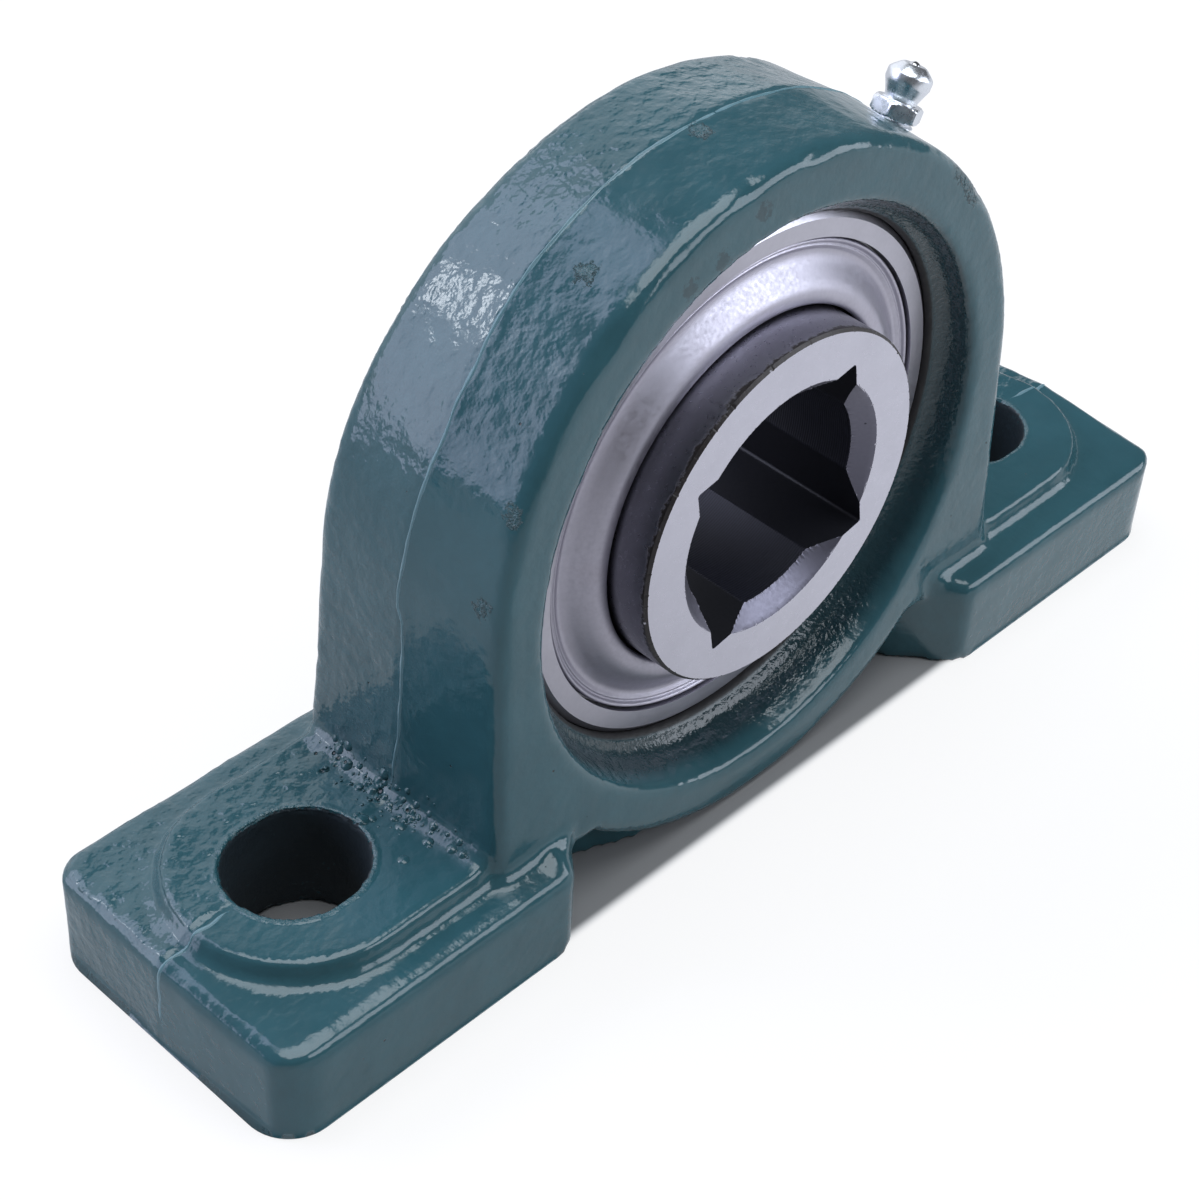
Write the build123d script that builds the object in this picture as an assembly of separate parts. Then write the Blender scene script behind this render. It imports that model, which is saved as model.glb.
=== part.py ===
from build123d import *
import math
import os

# Relubricatable square-bore ball bearing insert in a cast-iron pillow block.
# Millimetres. Origin: centre of the base's underside. +X along the foot, +Z up,
# shaft axis along Y at the centre height, mould parting line at y = 0.

os.makedirs("parts", exist_ok=True)

# Square bore and inner ring
bore_flat = 29.97           # across flats
bore_turn = 11.72           # degrees, square bore about the shaft axis
bore_corner_radius = 0.5
bore_mouth_flare = 3.77     # conical lead-in at each face, beyond the flats
bore_mouth_depth = 3.4
inner_ring_width = 36.52
inner_ring_wall = 4.81      # outside the square's corners
inner_ring_chamfer = 0.8

# Balls and races
ball_count = 9
ball_diameter = 12.0
race_clearance = 0.03       # ball to race
race_margin = 0.18          # race groove radius beyond the ball's
inner_race_depth = 2.03
outer_race_depth = 2.43
shoulder_ratio = 0.9        # half width of a race's shoulders to ball radius

# Outer ring
outer_ring_wall = 3.94      # outside the race's bottom
outer_ring_width = 21.0
outer_ring_chamfer = 0.7
land_width = 4.77           # side land, from the ring's largest radius inwards
lube_hole_diameter = 2.0
lube_hole_ratio = 0.44      # its place, from the mid-plane to a side

# Cage: two pressed ribbons and their rivets
cage_thickness = 1.0
cage_inner_clearance = 0.7  # to the inner ring
cage_outer_clearance = 0.5  # to the outer ring's shoulders
pocket_clearance = 0.12
rivet_diameter = 1.6
rivet_clearance = 0.02
rivet_head_diameter = 2.8
rivet_head_height = 0.6

# Seals, each side: pressed sheet core, rubber lips, steel shroud
seal_clearance = 0.05       # core and shroud in the outer ring
core_thickness = 0.6
core_clearance = 0.1        # core to shroud
core_gap = 2.6              # core to inner ring, filled by the lips
lip_clearance = 0.1         # lips to the inner ring
lip_thickness = 0.45
shroud_thickness = 0.5
shroud_reach = 1.85         # nose beyond the outer ring's side
shroud_gap = 0.9            # rolled inner edge to the inner ring
shroud_nose = 1.4           # rolled inner edge to the nose
shroud_rise = 1.55          # slope below the nose, in height
shroud_dish = 4.2           # foot of that slope, from the inner edge
shroud_bead = 0.75          # first ridge, from the shroud's rim
shroud_ridge = 2.0          # second ridge, from the shroud's rim
shroud_bend = 0.25          # radius of its smaller bends

# Housing: seat and recess
seat_clearance = 0.03       # radial, seat to outer ring
recess_step = 2.2           # recess edge at a face, outside the insert
recess_wall = 1.2           # the wall's taper, from the face to its root
recess_root = 1.5           # root of the wall, beyond the outer ring's side
recess_root_radius = 1.2
recess_depth = 4.7          # the wall's height, level with the shaft axis
recess_edge_radius = 1.1
grease_groove_share = 0.57  # groove's width to the outer ring's
grease_groove_depth = 1.2
loading_clearance = 0.6     # each side of the outer ring in its loading slots

# Housing: arch and faces
centre_height = 49.2        # base to shaft axis
rim_width = 8.69            # recess edge to the ridge at the parting line
arch_draft = 3.2            # degrees
side_flare = 1.6            # degrees, sides widen towards the feet
face_slope = 3.25           # degrees, the body thickens towards the base
face_edge_radius = 1.7
body_root_radius = 2.6      # body into feet and pads
body_sink = 3.2             # body's forms reach this far below the foot's top

# Housing: bolt slots, pads and feet
bolt_spacing = 137.0
slot_width = 17.5
slot_length = 19.5
pad_land = 7.45             # slot's end to the pad's edge
pad_rise = 2.1              # above the foot's top at the parting line
pad_draft = 20.0            # degrees
pad_edge_radius = 0.7
pad_cove_radius = 1.2
foot_end = 5.3              # pad's edge to the foot's end
foot_side = 6.4             # pad's edge to the foot's side
foot_height = 15.7          # at the parting line
foot_draft = 2.3            # degrees, away from the parting line
foot_corner_radius = 5.8    # outer vertical corners
foot_edge_radius = 2.2      # top edge all round
foot_inset = 9.36           # a foot's inner end, inside the arch's side
foot_inner_slant = 40.0     # degrees, inner ends run in towards the web
foot_inner_radius = 3.0
cove_radius = 3.0           # web into the inner ends
waist_half_width = 14.3     # web between the feet, at mid-length
waist_radius = 150.0        # plan curve of that web

# Grease fitting
fitting_angle = 43.0        # its place on the arch, degrees above +X
fitting_lean = 64.0         # its axis, degrees above +X
fitting_thread = 6.0
fitting_clearance = 0.02    # thread in its hole
fitting_thread_length = 6.8
fitting_exposed = 1.3       # thread left out of the housing
fitting_hex = 6.5           # across flats
fitting_hex_height = 2.3
fitting_neck = 4.7
fitting_head = 6.4
fitting_head_height = 5.3
fitting_neck_height = 0.42  # above the hex
fitting_shoulder = 2.54     # head's widest part, above the hex
fitting_crown = 3.82        # head's cone begins, above the hex
fitting_tip_round = 0.48    # cone's upper bend, beyond the tip
fitting_tip = 3.2
fitting_bevel = 0.4         # hex and thread ends
fitting_bore = 2.6
fitting_mouth = 1.3
grease_hole = 3.5
check_ball_diameter = 2.0
check_ball_clearance = 0.02
spring_wire = 0.3
spring_turns = 6

inner_ring_radius = bore_flat / math.sqrt(2) + inner_ring_wall
bore_mouth_radius = bore_flat / 2 + bore_mouth_flare
ball_radius = ball_diameter / 2
race_radius = ball_radius + race_margin
pitch_radius = inner_ring_radius - inner_race_depth + race_clearance + ball_radius
outer_race_bottom = pitch_radius + ball_radius + race_clearance
outer_shoulder_radius = outer_race_bottom - outer_race_depth
shoulder_half_width = ball_radius * shoulder_ratio
outer_ring_radius = outer_race_bottom + outer_ring_wall
land_radius = outer_ring_radius - land_width
ring_half = outer_ring_width / 2
core_inner_radius = inner_ring_radius + core_gap
shroud_depth = 3 * shroud_thickness     # its lowest bends, from the outer ring's side
core_face = ring_half - shroud_depth - core_clearance - core_thickness
seat_radius = outer_ring_radius + seat_clearance
recess_radius = outer_ring_radius + recess_step
recess_root_depth = ring_half + recess_root
arch_radius = recess_radius + rim_width
slope = math.tan(math.radians(face_slope))
face_half_width = recess_root_depth + recess_depth
face_reach = face_half_width + slope * centre_height    # of a face, at the base
body_top = centre_height + arch_radius
body_bottom = foot_height - body_sink
pad_radius = slot_length / 2 + pad_land
pad_height = foot_height + pad_rise
half_length = bolt_spacing / 2 + pad_radius + foot_end
half_width = pad_radius + foot_side
foot_inner_end = -arch_radius + foot_inset
shaft_axis = Axis((0, 0, centre_height), (0, 1, 0))
ball_angles = [90 + 360 / ball_count * i for i in range(ball_count)]

# Fillets that share a narrow wall or ledge take at most their share of it.
face_land = arch_radius - face_reach * math.tan(math.radians(arch_draft)) - recess_radius
face_edge = min(face_edge_radius, 0.4 * face_land)
recess_edge = min(recess_edge_radius, 0.3 * face_land)
ledge = half_width - face_reach + slope * foot_height
body_root = min(body_root_radius, 0.8 * ledge)
pad_flare = (pad_rise + foot_draft / 2) * math.tan(math.radians(pad_draft))
pad_ledge = min(foot_end, foot_side) - foot_edge_radius - pad_flare
pad_cove = min(pad_cove_radius, 0.7 * pad_ledge)


def export(shape, name):
    shape.label = name
    export_step(shape, f"parts/{name}.step")


def closed(points):
    return make_face(Polyline(*points, close=True))


# A face drawn as (radius, y) about the shaft axis, turned into a ring.
def turned(section):
    return revolve(Pos(0, 0, centre_height) * section, shaft_axis)


def rear(shape):
    return mirror(shape, Plane.XZ)


# Place on a circle about the shaft axis, with local x pointing outwards.
def on_circle(angle):
    return Pos(0, 0, centre_height) * Rot(0, -angle, 0)


# The casting is built as its quarter with x <= 0 and y <= 0, then mirrored.
def quarter_block(low, high, reach=half_length):
    size = (reach, 2 * half_width, high - low)
    return Pos(0, 0, low) * Box(*size, align=(Align.MAX, Align.MAX, Align.MIN))


# Foot and web in plan, with a cove between them.
def base_plan():
    side, end = -half_width, foot_inner_end
    deep = cove_radius - waist_half_width
    deep_x = end + (deep - side) * math.tan(math.radians(foot_inner_slant))
    foot = closed([(-half_length, 0), (-half_length, side), (end, side), (deep_x, deep), (deep_x, 0)])
    waist = Pos(0, -waist_radius - waist_half_width) * Circle(waist_radius)
    web = closed([(end, 0), (end, side), (0, side), (0, 0)]) - waist
    web -= closed([(end, side), (deep_x, deep), (0, side)])
    plan = foot + web
    plan = fillet(plan.vertices().sort_by_distance((-half_length, side, 0))[0], foot_corner_radius)
    plan = fillet(plan.vertices().sort_by_distance((end, side, 0))[0], foot_inner_radius)
    inner = [v for v in plan.vertices() if deep_x - 2 * cove_radius < v.X < -1 and v.Y < side / 2]
    return fillet(ShapeList(inner).sort_by(Axis.X)[-1], cove_radius)


# Prism whose top and end lean in from the parting line, as the mould draws.
def drafted_prism():
    far = 2 * half_width
    outline = closed([(-half_length, -far), (far, -far), (far, foot_height), (-half_length, foot_height)])
    return extrude(Plane.XZ * outline, 1.1 * half_width, taper=foot_draft)


def base_quarter(base):
    top = base.faces().sort_by(Axis.Z)[-1]
    rim = [e for e in top.edges() if e.center().X < -0.01 and e.center().Y < -0.01]
    return fillet(rim, foot_edge_radius)


# D-shaped pad outline, round the slot and straight into the body.
def pad_outline():
    inner = foot_inner_end - body_root_radius
    straight = closed([(-bolt_spacing / 2, -pad_radius), (inner, -pad_radius),
                       (inner, pad_radius), (-bolt_spacing / 2, pad_radius)])
    return Plane.XY.offset(pad_height) * (straight + Pos(-bolt_spacing / 2, 0) * Circle(pad_radius))


def pad_quarter():
    pad = extrude(pad_outline(), -(pad_rise + body_sink), taper=-pad_draft)
    inner = foot_inner_end - body_root_radius
    rim = [e for e in pad.faces().sort_by(Axis.Z)[-1].edges() if e.center().X < inner - 1]
    return fillet(rim, pad_edge_radius) & quarter_block(0, body_top)


# Arch with flaring sides, drafted from the parting line and trimmed by the face.
def arch_quarter(wedge):
    flare = math.radians(side_flare)
    tx = arch_radius * math.cos(flare)
    tz = centre_height + arch_radius * math.sin(flare)
    low = -foot_height
    bx = tx + (tz - low) * math.tan(flare)
    outline = make_face([
        ThreePointArc((-tx, tz), (0, body_top), (tx, tz)),
        Line((tx, tz), (bx, low)), Line((bx, low), (-bx, low)), Line((-bx, low), (-tx, tz)),
    ])
    arch = extrude(Plane.XZ * outline, 1.1 * face_reach, taper=arch_draft) & wedge
    arch = arch & quarter_block(body_bottom, 1.1 * body_top)
    face = arch.faces().sort_by(Axis.Y)[0]
    edge = [e for e in face.edges() if e.center().X < -0.01 and e.center().Z > body_bottom + 0.01]
    return fillet(edge, face_edge)


# Lower rim of the bearing ring, a double cone that overhangs the web.
def rim_quarter(wedge):
    reach = 1.1 * face_reach
    far = arch_radius - reach * math.tan(math.radians(arch_draft))
    cone = turned(closed([(0, 0), (arch_radius, 0), (far, -reach), (0, -reach)])) & wedge
    cone = fillet(cone.faces().sort_by(Axis.Y)[0].edges(), face_edge)
    return cone & quarter_block(0, centre_height * 0.6)


# Root fillet of the body on a flat or leaning top, without the top itself.
def root_fillet(arch, ground, level):
    joined = (arch + ground).solid()
    seam = []
    for e in joined.edges():
        c = e.center()
        if level[0] < c.Z < level[1] and -0.01 > c.Y > -face_reach and -1.1 * arch_radius < c.X < -0.01:
            seam.append(e)
    return fillet(seam, body_root) - ground


def casting_quarter():
    low, high = -foot_height, 1.1 * body_top
    wedge = extrude(Plane.YZ * closed([
        (0, low), (-(face_half_width + slope * (centre_height - low)), low),
        (-(face_half_width + slope * (centre_height - high)), high), (0, high),
    ]), half_length, both=True)
    base = (extrude(base_plan(), foot_height) & drafted_prism()).solid()
    arch = arch_quarter(wedge)
    foot = base_quarter(base) + pad_quarter()
    pad_far = bolt_spacing / 2 + pad_radius + pad_flare + 0.3 * pad_ledge
    top_edge = foot_height - 1.1 * half_width * math.tan(math.radians(foot_draft))
    pad_foot = [e for e in foot.edges()
                if top_edge < e.center().Z < foot_height + 0.01
                and 0.01 < -e.center().Y < pad_radius + pad_flare + 0.3 * pad_ledge
                and -pad_far < e.center().X < foot_inner_end - 1.2 * body_root_radius]
    foot = fillet(pad_foot, pad_cove)
    skirt = root_fillet(arch, base, (top_edge, foot_height + 0.01))
    pad_ground = quarter_block(body_bottom / 2, pad_height)
    over_pad = extrude(pad_outline(), 1.2 * body_root, taper=pad_draft)
    pad_skirt = root_fillet(arch, pad_ground, (pad_height - 0.01, pad_height + 0.01))
    pad_skirt = pad_skirt & over_pad & quarter_block(0, body_top)
    return foot + (arch + rim_quarter(wedge)) + skirt + pad_skirt


# Space inside the casting: spherical seat, grease groove and a recess each side.
def bearing_pocket():
    root_r = recess_radius - recess_wall
    seat = Circle(seat_radius) & Rectangle(2 * seat_radius, outer_ring_width)
    seat &= Pos(seat_radius, 0) * Rectangle(2 * seat_radius, outer_ring_width)
    seat_edge = math.sqrt(seat_radius ** 2 - ring_half ** 2)
    far = 1.2 * face_reach
    taper = recess_wall / recess_depth
    mouth_r = root_r + taper * (far - recess_root_depth)
    recess = closed([(0, -ring_half), (seat_edge, -ring_half), (root_r, -recess_root_depth),
                     (mouth_r, -far), (0, -far)])
    recess = fillet(recess.vertices().sort_by_distance((root_r, -recess_root_depth, 0))[0],
                    recess_root_radius)
    groove = Pos(seat_radius, 0) * Rectangle(2 * grease_groove_depth, grease_groove_share * outer_ring_width)
    return turned(seat + recess + rear(recess) + groove)


def housing():
    quarter = casting_quarter()
    half = quarter + mirror(quarter, Plane.YZ)
    body = half + rear(half) - bearing_pocket()
    mouths = [e for e in body.edges() if e.length > 2 * recess_radius
              and min(abs((e @ 0).Y), abs((e @ 0.5).Y)) > recess_root_depth + recess_root_radius]
    body = fillet(mouths, recess_edge)
    slot = SlotOverall(slot_length, slot_width)
    for x in (-bolt_spacing / 2, bolt_spacing / 2):
        body -= Pos(x, 0, -pad_rise) * extrude(slot, 2 * pad_height)
    loading = Cylinder(seat_radius, 2 * face_reach, align=(Align.CENTER, Align.CENTER, Align.MIN))
    gap = outer_ring_width + 2 * loading_clearance
    loading &= Box(4 * seat_radius, gap, 4 * face_reach)
    body -= Pos(0, 0, centre_height) * Rot(-90, 0, 0) * loading
    passage = fitting_plane()
    drill = Cylinder(fitting_thread / 2 + fitting_clearance, 2 * fitting_thread_length,
                     align=(Align.CENTER, Align.CENTER, Align.MIN))
    body -= passage * Pos(0, 0, -fitting_thread_length) * drill
    wall = arch_radius - seat_radius
    run = Cylinder(grease_hole / 2, 2 * wall, align=(Align.CENTER, Align.CENTER, Align.MAX))
    body -= passage * run
    return body.solid()


# Frame of the grease fitting, on the arch's ridge with z along its axis.
def fitting_plane():
    a, b = math.radians(fitting_angle), math.radians(fitting_lean)
    spot = (arch_radius * math.cos(a), 0, centre_height + arch_radius * math.sin(a))
    return Plane(origin=spot, x_dir=(math.sin(b), 0, -math.cos(b)), z_dir=(math.cos(b), 0, math.sin(b)))


# A face drawn as (radius, z) about the fitting's own axis.
def fitting_turned(section):
    return revolve(Plane.XZ * section, Axis.Z)


hex_bottom = fitting_exposed
hex_top = hex_bottom + fitting_hex_height
fitting_top = hex_top + fitting_head_height
ball_rest = fitting_top - 0.75 * check_ball_diameter / 2


def grease_fitting_body():
    low = fitting_exposed - fitting_thread_length
    r = fitting_head / 2
    thread = fitting_turned(closed([
        (0, low), (fitting_thread / 2 - fitting_bevel, low), (fitting_thread / 2, low + fitting_bevel),
        (fitting_thread / 2, hex_bottom), (0, hex_bottom),
    ]))
    corner = fitting_hex / math.sqrt(3)
    nut = extrude(RegularPolygon(fitting_hex / 2, 6, major_radius=False), fitting_hex_height)
    nut = Pos(0, 0, hex_bottom) * nut
    nut &= fitting_turned(closed([
        (0, hex_bottom), (fitting_hex / 2, hex_bottom), (corner, hex_bottom + fitting_bevel),
        (corner, hex_top - fitting_bevel), (fitting_hex / 2, hex_top), (0, hex_top),
    ]))
    waist_top = hex_top + fitting_neck_height
    shoulder = hex_top + fitting_shoulder
    crown = hex_top + fitting_crown
    head = fitting_turned(closed([
        (0, hex_top), (fitting_neck / 2, hex_top), (fitting_neck / 2, waist_top),
        (r, shoulder), (r, crown), (fitting_tip / 2 + fitting_tip_round, fitting_top - fitting_bevel / 2),
        (fitting_tip / 2, fitting_top), (0, fitting_top),
    ]))
    seat = check_ball_diameter / 2 + check_ball_clearance
    bore = fitting_turned(closed([
        (0, low), (fitting_bore / 2, low), (fitting_bore / 2, ball_rest - 0.1 * check_ball_diameter),
        (fitting_mouth / 2, ball_rest + 0.22 * check_ball_diameter), (fitting_mouth / 2, fitting_top),
        (0, fitting_top),
    ]))
    bore += Pos(0, 0, ball_rest) * Sphere(seat)
    return fitting_plane() * (thread + nut + head - bore).solid()


def grease_fitting_ball():
    return fitting_plane() * Pos(0, 0, ball_rest) * Sphere(check_ball_diameter / 2)


def grease_fitting_spring():
    low = fitting_exposed - fitting_thread_length + 2 * spring_wire
    radius = fitting_bore / 2 - 0.8 * spring_wire
    high = ball_rest - check_ball_diameter / 2
    path = Pos(0, 0, low) * Helix((high - low) / spring_turns, high - low, radius)
    wire = Plane(path @ 0, z_dir=path % 0) * Circle(spring_wire / 2)
    return fitting_plane() * sweep(wire, path)


def outer_ring():
    section = Pos(outer_ring_radius, 0) * Rectangle(2 * outer_ring_radius, outer_ring_width)
    section = section & Circle(outer_ring_radius)
    edge = math.sqrt(outer_ring_radius ** 2 - ring_half ** 2)
    for y in (-ring_half, ring_half):
        corner = section.vertices().sort_by_distance((edge, y, 0))[0]
        section = chamfer(corner, outer_ring_chamfer)
    section -= Rectangle(2 * outer_shoulder_radius, 2 * outer_ring_width)
    section -= Pos(outer_race_bottom - race_radius, 0) * Circle(race_radius)
    depth = ring_half - shoulder_half_width
    for y in (-1, 1):
        section -= Pos(0, y * (shoulder_half_width + depth)) * Rectangle(2 * land_radius, 2 * depth)
    ring = turned(section)
    hole = Cylinder(lube_hole_diameter / 2, outer_ring_radius, align=(Align.CENTER, Align.CENTER, Align.MIN))
    hole = Pos(pitch_radius, lube_hole_ratio * ring_half, 0) * Rot(0, 90, 0) * hole
    for angle in (fitting_angle, fitting_angle + 180):
        ring -= on_circle(angle) * hole
    return ring.solid()


def inner_ring():
    r, half = inner_ring_radius, inner_ring_width / 2
    section = Pos(r / 2, 0) * Rectangle(r, inner_ring_width)
    for y in (-half, half):
        section = chamfer(section.vertices().sort_by_distance((r, y, 0))[0], inner_ring_chamfer)
    section -= Pos(r - inner_race_depth + race_radius, 0) * Circle(race_radius)
    ring = turned(section)
    square = fillet(Rectangle(bore_flat, bore_flat).vertices(), bore_corner_radius)
    cut = extrude(square, inner_ring_width, both=True)
    ring -= Pos(0, 0, centre_height) * Rot(90, 0, 0) * Rot(0, 0, bore_turn) * cut
    grow = (bore_mouth_radius - bore_flat / 2) / bore_mouth_depth
    mouth = closed([(0, -2 * half), (bore_mouth_radius + grow * half, -2 * half),
                    (bore_flat / 2, -half + bore_mouth_depth), (0, -half + bore_mouth_depth)])
    mouth = turned(mouth)
    return (ring - mouth - rear(mouth)).solid()


def ball(angle):
    return on_circle(angle) * Pos(pitch_radius, 0, 0) * Sphere(ball_radius)


# Front half of the ribbon cage: flats between the balls, cups round them.
def cage_front():
    inside = ball_radius + pocket_clearance
    r1, r2 = inner_ring_radius + cage_inner_clearance, outer_shoulder_radius - cage_outer_clearance
    band = turned(closed([(r1, 0), (r2, 0), (r2, -2 * inside), (r1, -2 * inside)]))
    flat = turned(closed([(r1, 0), (r2, 0), (r2, -cage_thickness), (r1, -cage_thickness)]))
    cup = Pos(pitch_radius, 0, 0) * Sphere(inside + cage_thickness)
    hollow = Pos(pitch_radius, 0, 0) * Sphere(inside)
    hole = Rot(90, 0, 0) * Cylinder(rivet_diameter / 2 + rivet_clearance, 4 * cage_thickness)
    ribbon = flat
    for angle in ball_angles:
        ribbon += (on_circle(angle) * cup) & band
    for angle in ball_angles:
        ribbon -= on_circle(angle) * hollow
        ribbon -= on_circle(angle + 180 / ball_count) * Pos(pitch_radius, 0, 0) * hole
    return ribbon.solid()


def cage_rivets():
    r, head = rivet_diameter / 2, rivet_head_diameter / 2
    y1, y2 = cage_thickness, cage_thickness + rivet_head_height
    section = closed([(0, -y2), (r, -y2), (head, -y1), (r, -y1), (r, y1), (head, y1), (r, y2), (0, y2)])
    rivet = revolve(section, Axis.Y)
    return [on_circle(angle + 180 / ball_count) * Pos(pitch_radius, 0, 0) * rivet for angle in ball_angles]


# Pressed steel washer with a flange against the outer ring.
def seal_core_front():
    outer = land_radius - seal_clearance
    y1, y2 = -core_face, -core_face - core_thickness
    return turned(closed([
        (core_inner_radius, y1), (outer - core_thickness, y1), (outer - core_thickness, y1 + core_thickness),
        (outer, y1 + core_thickness), (outer, y2), (core_inner_radius, y2),
    ]))


# Rubber bonded to the core's inner edge, with three lips on the inner ring.
def seal_lips_front():
    y1, y2 = -core_face, -core_face - core_thickness
    tip = inner_ring_radius + lip_clearance
    root = core_inner_radius - 3 * lip_thickness
    section = closed([(root, y1), (core_inner_radius, y1), (core_inner_radius, y2), (root, y2)])
    spread = core_thickness + 2 * lip_thickness
    for k in (-1, 0, 1):
        y = (y1 + y2) / 2 + k * (core_thickness - lip_thickness) / 2
        t = y + k * spread / 2
        w = lip_thickness / 2
        section += closed([(root + w, y - w), (root + w, y + w), (tip, t + w / 2), (tip, t - w / 2)])
    return turned(section)


# Steel shroud: two ridges at its rim, then a dished band with a rolled nose.
def seal_shroud_front():
    rim, inner = land_radius - seal_clearance, inner_ring_radius + shroud_gap
    bead, ridge, nose, dish = rim - shroud_bead, rim - shroud_ridge, inner + shroud_nose, inner + shroud_dish
    t, high, low = shroud_thickness, -ring_half, 2 * shroud_thickness - ring_half
    tip = high - shroud_reach
    crest = [
        (rim - t / 2, low), (bead, high + t / 4), ((bead + ridge) / 2, low - t / 2), (ridge, high + t),
        (ridge - 1.7 * t, low), (dish, high + t / 2), (nose + 0.9 * t, tip + 0.25 * shroud_rise),
        (nose, tip), (inner, tip + t),
    ]
    section = closed(crest + [(r, y + t) for r, y in reversed(crest)])
    ends = (crest[0], crest[-1])
    bends = [v for v in section.vertices() if min(abs(v.X - r) for r, y in ends) > 0.01]
    return turned(fillet(bends, shroud_bend))


export(housing(), "housing")
export(grease_fitting_body(), "grease_fitting_body")
export(grease_fitting_ball(), "grease_fitting_ball")
export(grease_fitting_spring(), "grease_fitting_spring")
export(outer_ring(), "outer_ring")
export(inner_ring(), "inner_ring")
for number, angle in enumerate(ball_angles, 1):
    export(ball(angle), f"ball_{number}")
half_turn = Rot(0, 0, 180)
front = cage_front()
export(front, "cage_front")
export(half_turn * front, "cage_back")
export(Compound(cage_rivets()), "cage_rivets")
for name, make in (("core", seal_core_front), ("lips", seal_lips_front), ("shroud", seal_shroud_front)):
    front = make()
    export(front, f"seal_{name}_front")
    export(half_turn * front, f"seal_{name}_back")
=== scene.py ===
import math

import bmesh
import bpy
import numpy as np
from mathutils import Matrix, Vector
from mathutils.bvhtree import BVHTree


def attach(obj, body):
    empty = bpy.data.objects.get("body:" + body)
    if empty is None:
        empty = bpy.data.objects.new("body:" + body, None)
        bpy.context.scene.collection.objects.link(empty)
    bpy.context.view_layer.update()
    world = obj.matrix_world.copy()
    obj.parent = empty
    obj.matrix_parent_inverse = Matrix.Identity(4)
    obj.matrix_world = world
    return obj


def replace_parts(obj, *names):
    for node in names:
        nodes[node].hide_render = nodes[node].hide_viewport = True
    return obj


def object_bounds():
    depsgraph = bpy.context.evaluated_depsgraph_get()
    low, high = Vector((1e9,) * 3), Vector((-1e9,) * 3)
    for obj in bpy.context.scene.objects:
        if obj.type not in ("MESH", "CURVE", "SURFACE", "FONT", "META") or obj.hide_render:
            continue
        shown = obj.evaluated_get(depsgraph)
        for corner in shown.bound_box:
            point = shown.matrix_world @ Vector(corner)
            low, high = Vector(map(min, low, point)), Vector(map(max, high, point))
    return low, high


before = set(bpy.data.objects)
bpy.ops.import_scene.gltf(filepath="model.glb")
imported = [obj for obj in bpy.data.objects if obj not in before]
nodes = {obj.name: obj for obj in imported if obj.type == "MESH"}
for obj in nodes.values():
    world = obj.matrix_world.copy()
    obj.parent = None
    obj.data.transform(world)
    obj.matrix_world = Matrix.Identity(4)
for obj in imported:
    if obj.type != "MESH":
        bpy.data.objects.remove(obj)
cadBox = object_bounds()
mm = 0.001
shaftHeight = 49.2  # mm, base to shaft axis
print("frame loaded:", len(nodes), "solids")

# The camera, as fitted to the photograph.
camera = {
    "place": (-213.06, -177.97, 261.41),  # mm
    "target": (-5.97, 0.0, 25.98),
    "roll": 4.651,  # degrees
    "focal": 2601.3,  # pixels
    "centre": (640.0, 595.5),  # where the lens axis meets the picture
    "picture": 1200,
}


def placeCamera(c):
    place = Vector(c["place"])
    forward = (Vector(c["target"]) - place).normalized()
    right = forward.cross(Vector((0, 0, 1))).normalized()
    up = right.cross(forward)
    turn = math.radians(c["roll"])
    rolledRight = math.cos(turn) * right + math.sin(turn) * up
    rolledUp = math.cos(turn) * up - math.sin(turn) * right
    lens = bpy.data.cameras.new("photoCamera")
    lens.sensor_width = 36
    lens.lens = 36 * c["focal"] / c["picture"]
    lens.shift_x = (c["picture"] / 2 - c["centre"][0]) / c["picture"]
    lens.shift_y = (c["centre"][1] - c["picture"] / 2) / c["picture"]
    lens.clip_start, lens.clip_end = 0.01, 20
    view = bpy.data.objects.new("photoCamera", lens)
    turned = Matrix((rolledRight, rolledUp, -forward)).transposed().to_4x4()
    view.matrix_world = Matrix.Translation(place * mm) @ turned
    bpy.context.collection.objects.link(view)
    bpy.context.scene.camera = view


placeCamera(camera)
bpy.context.scene.view_settings.view_transform = "Standard"


# Material helpers: a colour code turned linear, one node with its settings and links, an empty material.
def linearColour(code):
    parts = [int(code[k : k + 2], 16) / 255 for k in (1, 3, 5)]
    return tuple(p / 12.92 if p <= 0.04045 else ((p + 0.055) / 1.055) ** 2.4 for p in parts) + (1.0,)


eased = {"interpolation_type": "SMOOTHSTEP"}  # a MapRange that eases in and out
mixed = {"out": 2, "data_type": "RGBA"}  # a Mix of two colours


def addNode(tree, kind, inputs=(), out=0, **settings):
    # Inputs go by place or by name: a socket is linked, a colour code is turned linear, anything else is set.
    # It gives back one output, or all of them when out is None.
    node = tree.nodes.new("ShaderNode" + kind)
    for name, value in settings.items():
        setattr(node, name, value)
    for name, value in inputs.items() if isinstance(inputs, dict) else enumerate(inputs):
        if isinstance(value, bpy.types.NodeSocket):
            tree.links.new(value, node.inputs[name])
        elif isinstance(value, str):
            node.inputs[name].default_value = linearColour(value)
        else:
            node.inputs[name].default_value = value
    if node.outputs:
        return node.outputs if out is None else node.outputs[out]


def newMaterial(name):
    material = bpy.data.materials.new(name)
    material.use_nodes = True
    tree = material.node_tree
    surface = tree.nodes["Principled BSDF"]
    place = addNode(tree, "TexCoord", (), "Object")
    return material, tree, surface, place


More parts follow.
